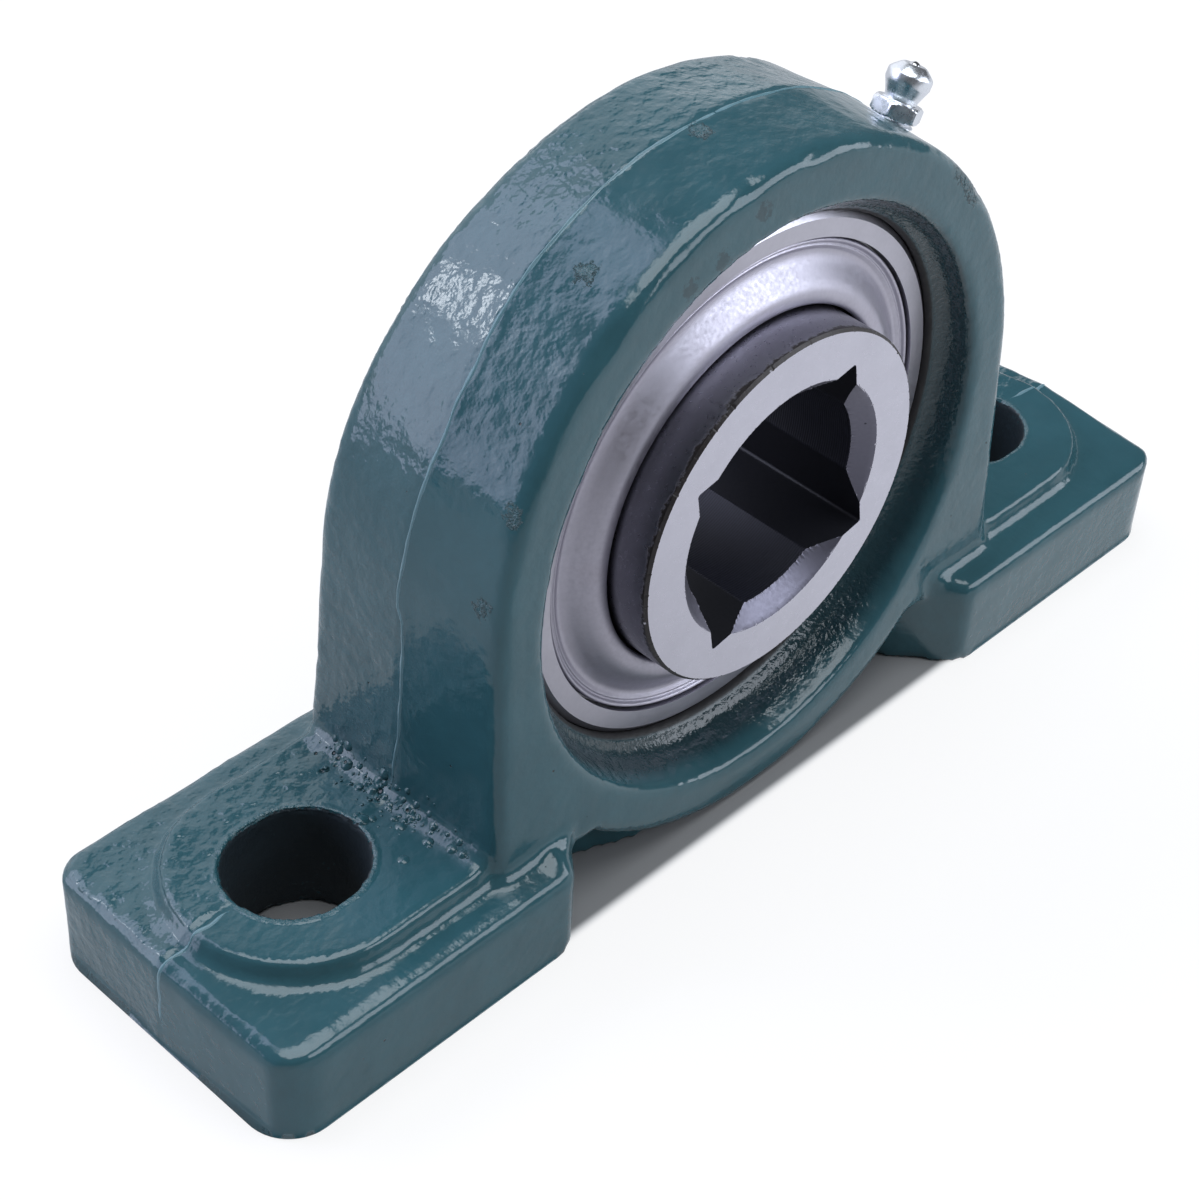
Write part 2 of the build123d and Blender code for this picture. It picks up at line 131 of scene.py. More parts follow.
def mottles(tree, place, table):
    # Uneven patterns from 0 to 1, each given by its blobs' size in mm, its detail, its roughness and a shift
    # that keeps it unlike the others.
    made = {}
    for name, (size, detail, roughness, shift) in table.items():
        moved = addNode(tree, "VectorMath", (place, (shift, shift * 0.7, -shift)), operation="ADD")
        made[name] = addNode(tree, "TexNoise", {"Vector": moved, "Scale": 1 / (size * mm), "Detail": detail,
                "Roughness": roughness}, "Fac")
    return made


def dots(tree, place, spacing, radius, share, seed=0.0):
    # Round specks: 1 at a cell's centre, 0 past the radius, in this share of the cells. Sizes in mm.
    moved = addNode(tree, "VectorMath", (place, (seed, -seed, seed * 0.4)), operation="ADD")
    cells = addNode(tree, "TexVoronoi", {"Vector": moved, "Scale": 1 / (spacing * mm), "Randomness": 1.0}, None,
            feature="F1")
    near = addNode(tree, "MapRange", (cells["Distance"], radius / spacing, 0.35 * radius / spacing), **eased)
    lot = addNode(tree, "SeparateColor", (cells["Color"],))
    chosen = addNode(tree, "Math", (lot, share), operation="LESS_THAN")
    return addNode(tree, "Math", (near, chosen), operation="MULTIPLY")


def cylindrical(tree, place):
    # Distance from the shaft axis, distance along it from the middle, and the three coordinates.
    x, y, z = addNode(tree, "SeparateXYZ", (place,), None)
    across = addNode(tree, "CombineXYZ", {"X": x, "Z": z})
    reach = addNode(tree, "VectorMath", (across, (0, 0, shaftHeight * mm)), "Value", operation="DISTANCE")
    offMiddle = addNode(tree, "Math", (y,), operation="ABSOLUTE")
    return reach, offMiddle, x, y, z


def dress(piece, material):
    piece.data.materials.clear()
    piece.data.materials.append(material)


# Enamel on the casting. Sizes in mm.
paint = {
    "name": "glossEnamelOnSandCastIron",
    "deep": "#23434a",
    "pale": "#2e535b",
    "gloss": 0.12,  # roughness
    "mottles": {  # size, detail, roughness, shift
        "colour": (9.0, 3.0, 0.6, 0.0),
        "gloss": (3.0, 3.0, 0.6, 2.1),
        "peel": (1.5, 2.0, 0.5, 3.3),
        "broadPeel": (3.45, 1.0, 0.5, 4.1),
        "grain": (1.95, 2.0, 0.5, 5.3),
        "sand": (0.8, 2.0, 0.6, 4.2),
        "iron": (0.8, 4.0, 0.5, 0.0),
        "seatEdge": (0.9, 3.0, 0.6, 0.5),
        "slotEdge": (1.0, 3.0, 0.65, 1.5),
        "flakes": (1.0, 3.0, 0.65, 2.9),
        "craterEdge": (1.1, 4.0, 0.75, 7.7),
        "craterFloor": (0.8, 3.0, 0.7, 6.0),
    },
    "peelFront": 0.07,  # height of the peel on each half of the mould
    "peelRear": 0.14,
    "padPeel": 0.3,  # more on the rear half of level tops
    "seatEdge": 40.35,
    "rootAt": (53.4, 17.9),  # x and z of the roots between arch and pads
    "slotMiddle": 68.5,
    "slotStraight": 1.0,  # half its straight part
    "slotRadius": 8.95,
    "craters": ((-46.1, -13.7, 70.3), (-50.0, -12.8, 57.6), (-3.6, -1.5, 99.8), (-27.2, -5.8, 92.0),
                (34.2, -14.6, 84.8), (36.0, -14.7, 82.6), (37.5, -14.8, 80.2)),
    "craterRadius": 1.2,
    "scuffs": ((-5.2, -13.9, 95.1), (-12.5, -14.2, 91.1), (-18.0, -14.2, 89.6)),
    "recessRadius": 42.0,
    "recessFrom": 11.05,  # distance from the middle at which the recess starts
    # painted shade darkening the enamel inside the front recess
    "paintedRecessShade": 0.64,
}


def castEnamel(p):
    # Sand-cast iron dipped in gloss enamel: sharp reflections with ragged edges, a rough skin from the
    # rear half of the mould, pinholes, craters, bare dark iron where the seat is machined, painted shade in the
    # front recess, and bolt slots' walls nearly black, partly bare iron that the dip missed, partly painted shade.
    material, tree, surface, place = newMaterial(p["name"])
    reach, offMiddle, x, y, z = cylindrical(tree, place)
    uneven = mottles(tree, place, p["mottles"])
    lean = addNode(tree, "TexCoord", (), "Normal")
    upwards = addNode(tree, "SeparateXYZ", (lean,), 2)
    rearHalf = addNode(tree, "MapRange", (y, -0.5 * mm, 1.5 * mm), **eased)
    tone = addNode(tree, "Mix", {0: uneven["colour"], 6: p["deep"], 7: p["pale"]}, **mixed)
    pinholes = addNode(tree, "Math", (dots(tree, place, 3.4, 0.24, 0.06), dots(tree, place, 1.9, 0.13, 0.03, 1.3)),
            operation="MAXIMUM")
    tone = addNode(tree, "Mix", {0: pinholes, 6: tone, 7: "#0b1114"}, **mixed)
    # dark pits along the roots of the arch, where sand broke away
    rootX = addNode(tree, "Math", (x,), operation="ABSOLUTE")
    rootX = addNode(tree, "Math", (rootX, p["rootAt"][0] * mm), operation="SUBTRACT")
    rootZ = addNode(tree, "Math", (z, p["rootAt"][1] * mm), operation="SUBTRACT")
    fromRoot = addNode(tree, "CombineXYZ", {"X": rootX, "Y": rootZ})
    fromRoot = addNode(tree, "VectorMath", (fromRoot,), "Value", operation="LENGTH")
    nearRoot = addNode(tree, "MapRange", (fromRoot, 3.6 * mm, 1.2 * mm), **eased)
    nearRoot = addNode(tree, "Math", (nearRoot, addNode(tree, "MapRange", (offMiddle, 15 * mm, 13 * mm), **eased)),
            operation="MULTIPLY")
    rootPits = addNode(tree, "Math", (dots(tree, place, 2.3, 0.55, 0.3, 6.3), dots(tree, place, 1.4, 0.35, 0.3, 8.3)),
            operation="MAXIMUM")
    rootPits = addNode(tree, "Math", (rootPits, nearRoot), operation="MULTIPLY")
    tone = addNode(tree, "Mix", {0: rootPits, 6: tone, 7: "#0a1317"}, **mixed)
    craters, scuffs = 0.0, 0.0
    jagged = addNode(tree, "Math", (uneven["craterEdge"], 0.56), operation="SUBTRACT")
    jagged = addNode(tree, "Math", (jagged, 5.0 * mm), operation="MULTIPLY")
    for spot in p["craters"] + p["scuffs"]:
        away = addNode(tree, "VectorMath", (place, tuple(v * mm for v in spot)), "Value", operation="DISTANCE")
        near = addNode(tree, "Math", (away, jagged), operation="ADD")
        near = addNode(tree, "MapRange", (near, p["craterRadius"] * mm, 0.5 * p["craterRadius"] * mm), **eased)
        if spot in p["craters"]:
            craters = addNode(tree, "Math", (near, craters), operation="MAXIMUM")
        else:
            scuffs = addNode(tree, "Math", (near, scuffs), operation="MAXIMUM")
    share = addNode(tree, "Math", (scuffs, 0.5), operation="MULTIPLY")
    tone = addNode(tree, "Mix", {0: share, 6: tone, 7: "#0d1c21"}, **mixed)
    # painted shade: inside the front recess the enamel is darkened towards a dark teal
    withinRim = addNode(tree, "MapRange", (reach, (p["recessRadius"] + 0.4) * mm, (p["recessRadius"] - 0.4) * mm),
            **eased)
    insideRecess = addNode(tree, "MapRange", (offMiddle, (p["recessFrom"] - 0.25) * mm,
            (p["recessFrom"] + 0.25) * mm), **eased)
    insideRecess = addNode(tree, "Math", (withinRim, insideRecess), operation="MULTIPLY")
    share = addNode(tree, "Math", (insideRecess, p["paintedRecessShade"]), operation="MULTIPLY")
    tone = addNode(tree, "Mix", {0: share, 6: tone, 7: "#0c171b"}, **mixed)
    # the machined seat, and the paint's ragged edge before it
    frayed = addNode(tree, "Math", (uneven["seatEdge"], 0.7 * mm), operation="MULTIPLY")
    frayed = addNode(tree, "Math", (reach, frayed), operation="ADD")
    nearSeat = addNode(tree, "MapRange", (frayed, (p["seatEdge"] + 0.45) * mm, (p["seatEdge"] + 0.2) * mm), **eased)
    inSeat = addNode(tree, "MapRange", (offMiddle, 11.2 * mm, 10.8 * mm), **eased)
    inSeat = addNode(tree, "Math", (nearSeat, inSeat), operation="MULTIPLY")
    iron = addNode(tree, "Mix", {0: uneven["iron"], 6: "#09090c", 7: "#1c1a19"}, **mixed)
    tone = addNode(tree, "Mix", {0: inSeat, 6: tone, 7: iron}, **mixed)
    # the bolt slots' walls, nearly black: partly bare iron that the dip missed, partly painted shade inside the slot.
    # The distance to the slot's straight middle line, with a ragged limit
    alongSlot = addNode(tree, "Math", (x,), operation="ABSOLUTE")
    alongSlot = addNode(tree, "Math", (alongSlot, p["slotMiddle"] * mm), operation="SUBTRACT")
    alongSlot = addNode(tree, "Math", (alongSlot,), operation="ABSOLUTE")
    alongSlot = addNode(tree, "Math", (alongSlot, p["slotStraight"] * mm), operation="SUBTRACT")
    alongSlot = addNode(tree, "Math", (alongSlot, 0.0), operation="MAXIMUM")
    fromSlot = addNode(tree, "CombineXYZ", {"X": alongSlot, "Y": y})
    fromSlot = addNode(tree, "VectorMath", (fromSlot,), "Value", operation="LENGTH")
    ragged = addNode(tree, "Math", (uneven["slotEdge"], 0.5), operation="SUBTRACT")
    ragged = addNode(tree, "Math", (ragged, 1.1 * mm), operation="MULTIPLY")
    inSlot = addNode(tree, "Math", (fromSlot, ragged), operation="ADD")
    inSlot = addNode(tree, "MapRange", (inSlot, (p["slotRadius"] + 0.12) * mm, p["slotRadius"] * mm), **eased)
    inSlot = addNode(tree, "Math", (inSlot, addNode(tree, "MapRange", (z, 0.2 * mm, 0.5 * mm), **eased)),
            operation="MULTIPLY")
    # painted shade together with bare iron: the slot walls mixed towards near black
    share = addNode(tree, "Math", (inSlot, 0.85), operation="MULTIPLY")
    tone = addNode(tree, "Mix", {0: share, 6: tone, 7: "#161a21"}, **mixed)
    slotRim = addNode(tree, "MapRange", (fromSlot, (p["slotRadius"] + 1.3) * mm, (p["slotRadius"] + 0.3) * mm),
            **eased)
    slotRim = addNode(tree, "Math", (slotRim, addNode(tree, "MapRange",
            (fromSlot, (p["slotRadius"] - 0.3) * mm, (p["slotRadius"] + 0.1) * mm), **eased)), operation="MULTIPLY")
    tree.links.new(tone, surface.inputs["Base Color"])
    gloss = addNode(tree, "MapRange", (uneven["gloss"], 0.3, 0.7, p["gloss"] * 0.8, p["gloss"] * 1.5))
    dull = addNode(tree, "Math", (inSeat, inSlot), operation="MAXIMUM")
    rough = addNode(tree, "Mix", {0: dull, 2: gloss, 3: 0.6}, data_type="FLOAT")
    tree.links.new(rough, surface.inputs["Roughness"])
    # heights: peel that differs between the halves, rougher level tops, sandy recess walls, craters, pinholes
    amount = addNode(tree, "MapRange", (rearHalf, 0.0, 1.0, p["peelFront"] * mm, p["peelRear"] * mm), **eased)
    peel = addNode(tree, "Math", (uneven["peel"], amount), operation="MULTIPLY")
    broad = addNode(tree, "Math", (uneven["broadPeel"], amount), operation="MULTIPLY")
    onTop = addNode(tree, "MapRange", (upwards, 0.75, 0.95), **eased)
    onTop = addNode(tree, "Math", (onTop, rearHalf), operation="MULTIPLY")
    grain = addNode(tree, "Math", (uneven["grain"], onTop), operation="MULTIPLY")
    grain = addNode(tree, "Math", (grain, p["padPeel"] * mm), operation="MULTIPLY")
    sand = addNode(tree, "Math", (uneven["sand"], insideRecess), operation="MULTIPLY")
    sand = addNode(tree, "Math", (sand, 0.15 * mm), operation="MULTIPLY")
    crater = addNode(tree, "Math", (craters, uneven["craterFloor"]), operation="MULTIPLY")
    crater = addNode(tree, "Math", (crater, 0.6 * mm), operation="MULTIPLY")
    pit = addNode(tree, "Math", (pinholes, -0.05 * mm), operation="MULTIPLY")
    pit = addNode(tree, "Math", (pit, addNode(tree, "Math", (rootPits, -0.25 * mm), operation="MULTIPLY")),
            operation="ADD")
    flakes = addNode(tree, "Math", (uneven["flakes"], slotRim), operation="MULTIPLY")
    flakes = addNode(tree, "Math", (flakes, 0.35 * mm), operation="MULTIPLY")
    height = peel
    for part in (broad, grain, sand, crater, pit, flakes):
        height = addNode(tree, "Math", (height, part), operation="ADD")
    bump = addNode(tree, "Bump", {"Strength": 1.0, "Distance": 1.0, "Height": height})
    tree.links.new(bump, surface.inputs["Normal"])
    return material


def turnedSteel(name, dark, light, roughness, lineSpacing, lineHeight, cloudiness=0.0, cloud="#5a5a62"):
    # Steel turned or ground about the shaft axis: fine rings round it and a slight uneven stain.
    # lineSpacing in mm is drawn coarser than real grinding lines so that it shows.
    material, tree, surface, place = newMaterial(name)
    reach, offMiddle, x, y, z = cylindrical(tree, place)
    ring = addNode(tree, "CombineXYZ", {"X": reach, "Y": y})
    lines = mottles(tree, ring, {"lines": (lineSpacing, 2.0, 0.5, 0.0)})["lines"]
    stain, fine = mottles(tree, place, {"stain": (5.0, 5.0, 0.65, 0.0), "fine": (0.55, 3.0, 0.5, 0.0)}).values()
    tone = addNode(tree, "Mix", {0: stain, 6: dark, 7: light}, **mixed)
    share = addNode(tree, "MapRange", (stain, 0.54, 0.68, 0.0, cloudiness), **eased)
    tone = addNode(tree, "Mix", {0: share, 6: tone, 7: cloud}, **mixed)
    specks = addNode(tree, "Math", (dots(tree, place, 4.5, 0.16, 0.1, 0.7), 0.8), operation="MULTIPLY")
    tone = addNode(tree, "Mix", {0: specks, 6: tone, 7: "#232227"}, **mixed)
    tree.links.new(tone, surface.inputs["Base Color"])
    rough = addNode(tree, "MapRange", (fine, 0.3, 0.7, roughness * 0.85, roughness * 1.2))
    tree.links.new(rough, surface.inputs["Roughness"])
    height = addNode(tree, "Math", (lines, lineHeight * mm), operation="MULTIPLY")
    height = addNode(tree, "Math", (height, addNode(tree, "Math", (fine, 0.002 * mm), operation="MULTIPLY")),
            operation="ADD")
    bump = addNode(tree, "Bump", {"Strength": 1.0, "Distance": 1.0, "Height": height})
    tree.links.new(bump, surface.inputs["Normal"])
    surface.inputs["Metallic"].default_value = 1.0
    return material


# The inner ring's finishes, told apart by their place. Sizes in mm.
ringFinish = {
    "radius": 26.0,
    "half": 18.26,
    "scaleBand": 1.1,  # unground strip beside each face, on the outside
    "boreReach": 22.2,  # nothing of the bore is further out than this
    "drilled": 16.2,
    "chatterPitch": 0.38,
    "mottles": {"stain": (6.0, 5.0, 0.65, 0.0), "fine": (0.5, 3.0, 0.6, 0.0), "grit": (0.9, 3.0, 0.65, 1.7)},
}


def innerRingSteel(f):
    # Hardened bearing steel: bright ground faces and outside, a black forged strip beside each face,
    # a broached bore left black, with chatter marks across a corner painted lighter as a glint, and turned cone
    # mouths.
    material, tree, surface, place = newMaterial("hardenedSteelWithForgedScale")
    reach, offMiddle, x, y, z = cylindrical(tree, place)
    lean = addNode(tree, "TexCoord", (), "Normal")
    facing = addNode(tree, "SeparateXYZ", (lean,), 1)
    facing = addNode(tree, "Math", (facing,), operation="ABSOLUTE")
    stain, fine, grit = mottles(tree, place, f["mottles"]).values()
    bright = addNode(tree, "Mix", {0: stain, 6: "#b9b8c2", 7: "#c8c7d2"}, **mixed)
    share = addNode(tree, "Math", (dots(tree, place, 3.5, 0.12, 0.06), 0.7), operation="MULTIPLY")
    bright = addNode(tree, "Mix", {0: share, 6: bright, 7: "#37363c"}, **mixed)
    # outside: ground, then the scale strip with a ragged edge and flaked specks
    outside = addNode(tree, "MapRange", (reach, (f["boreReach"] + 0.6) * mm, (f["boreReach"] + 1.0) * mm), **eased)
    side = addNode(tree, "MapRange", (facing, 0.97, 0.85), **eased)
    side = addNode(tree, "Math", (side, outside), operation="MULTIPLY")
    edge = offMiddle
    for ragged, reachOut in ((grit, 1.6 * mm), (stain, 3.0 * mm)):
        ragged = addNode(tree, "Math", (ragged, 0.5), operation="SUBTRACT")
        ragged = addNode(tree, "Math", (ragged, reachOut), operation="MULTIPLY")
        edge = addNode(tree, "Math", (edge, ragged), operation="ADD")
    stripFrom = (f["half"] - f["scaleBand"]) * mm
    strip = addNode(tree, "MapRange", (edge, stripFrom, stripFrom + 0.5 * mm), **eased)
    strip = addNode(tree, "Math", (strip, side), operation="MULTIPLY")
    scale = addNode(tree, "Mix", {0: grit, 6: "#0d0c10", 7: "#332c2a"}, **mixed)
    chips = addNode(tree, "Math", (dots(tree, place, 1.4, 0.3, 0.16, 3.1), strip), operation="MULTIPLY")
    # bore: black walls, the drilled parts of them with chatter marks and a painted glint on them, mouths bright
    inBore = addNode(tree, "MapRange", (reach, (f["boreReach"] + 0.3) * mm, f["boreReach"] * mm), **eased)
    wall = addNode(tree, "MapRange", (facing, 0.3, 0.2), **eased)
    wall = addNode(tree, "Math", (inBore, wall), operation="MULTIPLY")
    fromDrill = addNode(tree, "Math", (reach, f["drilled"] * mm), operation="SUBTRACT")
    fromDrill = addNode(tree, "Math", (fromDrill,), operation="ABSOLUTE")
    drilled = addNode(tree, "MapRange", (fromDrill, 0.12 * mm, 0.06 * mm), **eased)
    drilled = addNode(tree, "Math", (wall, drilled), operation="MULTIPLY")
    black = addNode(tree, "Mix", {0: fine, 6: "#0c0d13", 7: "#1b1c24"}, **mixed)
    stripes = addNode(tree, "TexWave", {"Vector": place, "Scale": 0.314 / (f["chatterPitch"] * mm), "Distortion": 0.6,
            "Detail": 2.0, "Detail Scale": 1.5}, "Fac", wave_type="BANDS", bands_direction="Y")
    # painted glint: the chatter stripes lightened where they catch light
    paintedChatterGlint = addNode(tree, "Math", (drilled, stripes), operation="MULTIPLY")
    paintedChatterGlint = addNode(tree, "Math", (paintedChatterGlint, 0.3), operation="MULTIPLY")
    black = addNode(tree, "Mix", {0: paintedChatterGlint, 6: black, 7: "#34364a"}, **mixed)
    tone = addNode(tree, "Mix", {0: stain, 6: "#83818a", 7: "#9d9ca6"}, **mixed)
    tone = addNode(tree, "Mix", {0: side, 6: bright, 7: tone}, **mixed)
    mouth = addNode(tree, "MapRange", (facing, 0.95, 0.85), **eased)
    mouth = addNode(tree, "Math", (inBore, mouth), operation="MULTIPLY")
    flecks = dots(tree, place, 1.5, 0.3, 0.12, 9.1)
    coned = addNode(tree, "Mix", {0: flecks, 6: "#696874", 7: "#1c1b22"}, **mixed)
    tone = addNode(tree, "Mix", {0: mouth, 6: tone, 7: coned}, **mixed)
    tone = addNode(tree, "Mix", {0: strip, 6: tone, 7: scale}, **mixed)
    tone = addNode(tree, "Mix", {0: chips, 6: tone, 7: "#a09ea6"}, **mixed)
    tone = addNode(tree, "Mix", {0: wall, 6: tone, 7: black}, **mixed)
    tree.links.new(tone, surface.inputs["Base Color"])
    ground = addNode(tree, "MapRange", (fine, 0.3, 0.7, 0.27, 0.36), **eased)
    ground = addNode(tree, "Math", (ground, addNode(tree, "Math", (mouth, 0.1), operation="MULTIPLY")),
            operation="ADD")
    rough = addNode(tree, "Math", (strip, wall), operation="MAXIMUM")
    rough = addNode(tree, "Mix", {0: rough, 2: ground, 3: 0.42}, data_type="FLOAT")
    tree.links.new(rough, surface.inputs["Roughness"])
    metal = 1.0
    for scaled, loss in ((strip, 0.8), (wall, 0.6)):
        scaled = addNode(tree, "Math", (scaled, loss), operation="MULTIPLY")
        metal = addNode(tree, "Math", (metal, scaled), operation="SUBTRACT")
    tree.links.new(metal, surface.inputs["Metallic"])
    chatter = addNode(tree, "Math", (stripes, drilled), operation="MULTIPLY")
    chatter = addNode(tree, "Math", (chatter, 0.02 * mm), operation="MULTIPLY")
    flaked = addNode(tree, "Math", (grit, strip), operation="MULTIPLY")
    flaked = addNode(tree, "Math", (flaked, 0.05 * mm), operation="MULTIPLY")
    height = addNode(tree, "Math", (fine, 0.003 * mm), operation="MULTIPLY")
    for part in (chatter, flaked):
        height = addNode(tree, "Math", (height, part), operation="ADD")
    bump = addNode(tree, "Bump", {"Strength": 1.0, "Distance": 1.0, "Height": height})
    tree.links.new(bump, surface.inputs["Normal"])
    return material


def plainSteel(name, code, roughness, dentHeight=0.004, dentSize=2.0):
    # Pressed, drawn or plated steel with a faint uneven skin; sizes in mm.
    material, tree, surface, place = newMaterial(name)
    skin = mottles(tree, place, {"skin": (dentSize, 4.0, 0.6, 0.0)})["skin"]
    shade = linearColour(code)
    darker = tuple(0.8 * v for v in shade[:3]) + (1.0,)
    tree.links.new(addNode(tree, "Mix", {0: skin, 6: darker, 7: shade}, **mixed), surface.inputs["Base Color"])
    rough = addNode(tree, "MapRange", (skin, 0.3, 0.7, roughness * 0.8, roughness * 1.25), **eased)
    tree.links.new(rough, surface.inputs["Roughness"])
    height = addNode(tree, "Math", (skin, dentHeight * mm), operation="MULTIPLY")
    bump = addNode(tree, "Bump", {"Strength": 1.0, "Distance": 1.0, "Height": height})
    tree.links.new(bump, surface.inputs["Normal"])
    surface.inputs["Metallic"].default_value = 1.0
    return material


def sealRubber():
    # Moulded nitrile rubber: matt black with a dusty bloom.
    material, tree, surface, place = newMaterial("mouldedNitrileRubber")
    bloom = mottles(tree, place, {"bloom": (2.5, 4.0, 0.5, 0.0)})["bloom"]
    tone = addNode(tree, "Mix", {0: bloom, 6: "#101013", 7: "#212124"}, **mixed)
    tree.links.new(tone, surface.inputs["Base Color"])
    surface.inputs["Roughness"].default_value = 0.6
    height = addNode(tree, "Math", (bloom, 0.01 * mm), operation="MULTIPLY")
    bump = addNode(tree, "Bump", {"Strength": 1.0, "Distance": 1.0, "Height": height})
    tree.links.new(bump, surface.inputs["Normal"])
    return material


enamel = castEnamel(paint)
# the seam's enamel is thinner and rougher, and painted paler: a painted sheen where the raised seam catches light
seamPaintedSheenEnamel = castEnamel({**paint, "name": "thinEnamelOverSeamWithPaintedSheen", "deep": "#46666f", "pale": "#62828b", "gloss": 0.3})
groundSteel = turnedSteel("groundBearingSteel", "#a9a8b0", "#bcbac4", 0.33, 0.25, 0.002)
ringSteel = innerRingSteel(ringFinish)
shroudSteel = turnedSteel("tumbledPressedSteel", "#aaa8b2", "#bfbcc8", 0.46, 0.5, 0.001, 0.25, "#9c969f")
zincPlate = plainSteel("brightZincPlate", "#e4e8ee", 0.28, 0.014, 1.2)
ballSteel = plainSteel("polishedBallSteel", "#cfd0d3", 0.08, 0.0005)
stripSteel = plainSteel("pressedStripSteel", "#8f9092", 0.35)
springWire = plainSteel("drawnSpringWire", "#8c8d90", 0.25)
rubber = sealRubber()

finishes = {
    "ball_": ballSteel, "grease_fitting_ball": ballSteel, "cage": stripSteel, "seal_core": stripSteel,
    "seal_lips": rubber, "seal_shroud": shroudSteel, "grease_fitting_spring": springWire,
    "grease_fitting_body": zincPlate, "inner_ring": ringSteel, "outer_ring": groundSteel, "housing": enamel,
}
for nodeName, solid in nodes.items():
    dress(solid, next(finish for start, finish in finishes.items() if nodeName.startswith(start)))
print("materials made:", len(bpy.data.materials))


# Shape helpers. Everything is worked out in mm and turned to metres as it enters a mesh.
def finishPiece(name, points, faces, material, body, sharpAngle):
    mesh = bpy.data.meshes.new(name)
    mesh.from_pydata((points * mm).tolist(), [], faces)
    mesh.shade_smooth()
    mesh.set_sharp_from_angle(angle=math.radians(sharpAngle))
    mesh.materials.append(material)
    piece = bpy.data.objects.new(name, mesh)
    bpy.context.collection.objects.link(piece)
    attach(piece, body)
    return piece


def addSurface(name, grid, material, body, closeAlong=True, sharpAngle=40):
    # A grid of points (round, along, xyz) becomes quads. Round always closes on itself; along closes
    # too, or else each of its two ends gets a flat cap.
    around, along = grid.shape[:2]
    i, j = np.meshgrid(np.arange(around), np.arange(along - (not closeAlong)), indexing="ij")
    nextI, nextJ = (i + 1) % around, (j + 1) % along
    quads = np.stack([i * along + j, nextI * along + j, nextI * along + nextJ, i * along + nextJ], -1).reshape(-1, 4)
    points = grid.reshape(-1, 3)
    a, b, c, d = (points[quads[:, k]] for k in range(4))
    inward = np.einsum("ij,ij->", a, np.cross(b, c)) + np.einsum("ij,ij->", a, np.cross(c, d)) < 0
    faces = quads.tolist()
    if not closeAlong:
        ring = np.arange(around) * along
        faces += [ring[::-1].tolist(), (ring + along - 1).tolist()]
        if np.dot(np.cross(a[0] - d[0], b[0] - a[0]), points[ring].mean(0) - points[ring + 1].mean(0)) > 0:
            faces[-2], faces[-1] = faces[-2][::-1], faces[-1][::-1]
    if inward:
        faces = [face[::-1] for face in faces]
    return finishPiece(name, points, faces, material, body, sharpAngle)


def smoothPath(points, steps):
    # Catmull-Rom curve through the points: each piece blends its two ends and their neighbours by a cubic.
    p = np.asarray(points, float)
    p = np.vstack([2 * p[0] - p[1], p, 2 * p[-1] - p[-2]])
    t = np.linspace(0, 1, steps, endpoint=False)[:, None]
    runs = []
    for a, b, c, d in zip(p, p[1:], p[2:], p[3:]):
        bend = 2 * a - 5 * b + 4 * c - d
        runs.append(0.5 * (2 * b + (c - a) * t + bend * t**2 + (3 * b - a - 3 * c + d) * t**3))
    return np.vstack(runs + [p[-2:-1]])


def unevenField(points, wavelength, seed, waves=48):
    # Sum of many cosine waves in random directions, near one wavelength, scaled to unit spread.
    rng = np.random.default_rng(seed)
    heading = rng.normal(size=(waves, 3))
    heading /= np.linalg.norm(heading, axis=1)[:, None]
    heading *= 2 * np.pi / (wavelength * rng.uniform(0.75, 1.35, waves))[:, None]
    return np.cos(points @ heading.T + rng.uniform(0, 2 * np.pi, waves)).sum(1) * math.sqrt(2 / waves)


def ripple(angle, seed, slowest, fastest, waves=40):
    # Sum of cosines with whole numbers of waves round the circle, scaled to unit spread.
    rng = np.random.default_rng(seed)
    counts = rng.integers(slowest, fastest, waves)
    phases = rng.uniform(0, 2 * np.pi, waves)
    return np.cos(angle[:, None] * counts + phases).sum(1) * math.sqrt(2 / waves)


def ramp(values, low, high):
    t = np.clip((values - low) / (high - low), 0, 1)
    return t * t * (3 - 2 * t)


# The painted casting: the solid's own shape, remeshed evenly, then swollen and dented as sand moulds leave it.
casting = {
    "voxel": 0.84,  # mm
    "lumps": ((14.0, 0.045), (6.0, 0.016), (2.8, 0.010)),  # wavelength and height, mm
    "frontShare": 0.6,  # of the lumps, on the smoother half of the mould
    "faceShare": 0.5,  # and on the flat faces
    "edgeCrown": 0.12,  # the arch falls away by this before its edges
    "crownWidth": 2.6,
    "bevel": 1.75,  # cut off the arch's edges, along the radius and along the shaft
    "footCorner": (84.2, 16.8),  # centre of a foot's upright corners
    "footCornerRadius": 6.8,
    "seamSwell": 0.06,
    "padRoughness": 0.07,  # rear half of the pads
    "recessRoughness": 0.025,
    "burr": (-42.4, -20.6, 15.4),  # at the near foot's inner corner
    "burrHeight": 0.8,
    "seatRadius": 40.12,
    "faceAtShaft": 16.7,
    "faceSlope": 0.0568,
    "fittingAngle": 43.0,  # degrees
    "fittingLean": 64.0,
    "ridgeRadius": 50.86,
    "holeRadius": 3.07,
    "holeInner": 2.2,  # between these distances from the fitting's axis, and these heights along it,
    "holeOuter": 3.9,  # points belong to the hole's wall
    "holeLow": -8.0,
    "holeHigh": 1.2,
    "archRadius": 50.9,
    "flankLean": 0.028,
    "outsideFrom": 46.0,  # distance from the shaft axis at which the arch's outside begins
    "padFrom": 51.0,  # x at which a pad begins
    "padTop": 13.0,  # above this a level place belongs to a pad
    "recessRadius": 42.0,
    "recessFrom": 11.5,  # distance from the middle at which the recess starts
    "seatHalf": 10.9,  # half the width of the machined seat
    "seatInner": 38.0,  # its points are further out than this
}


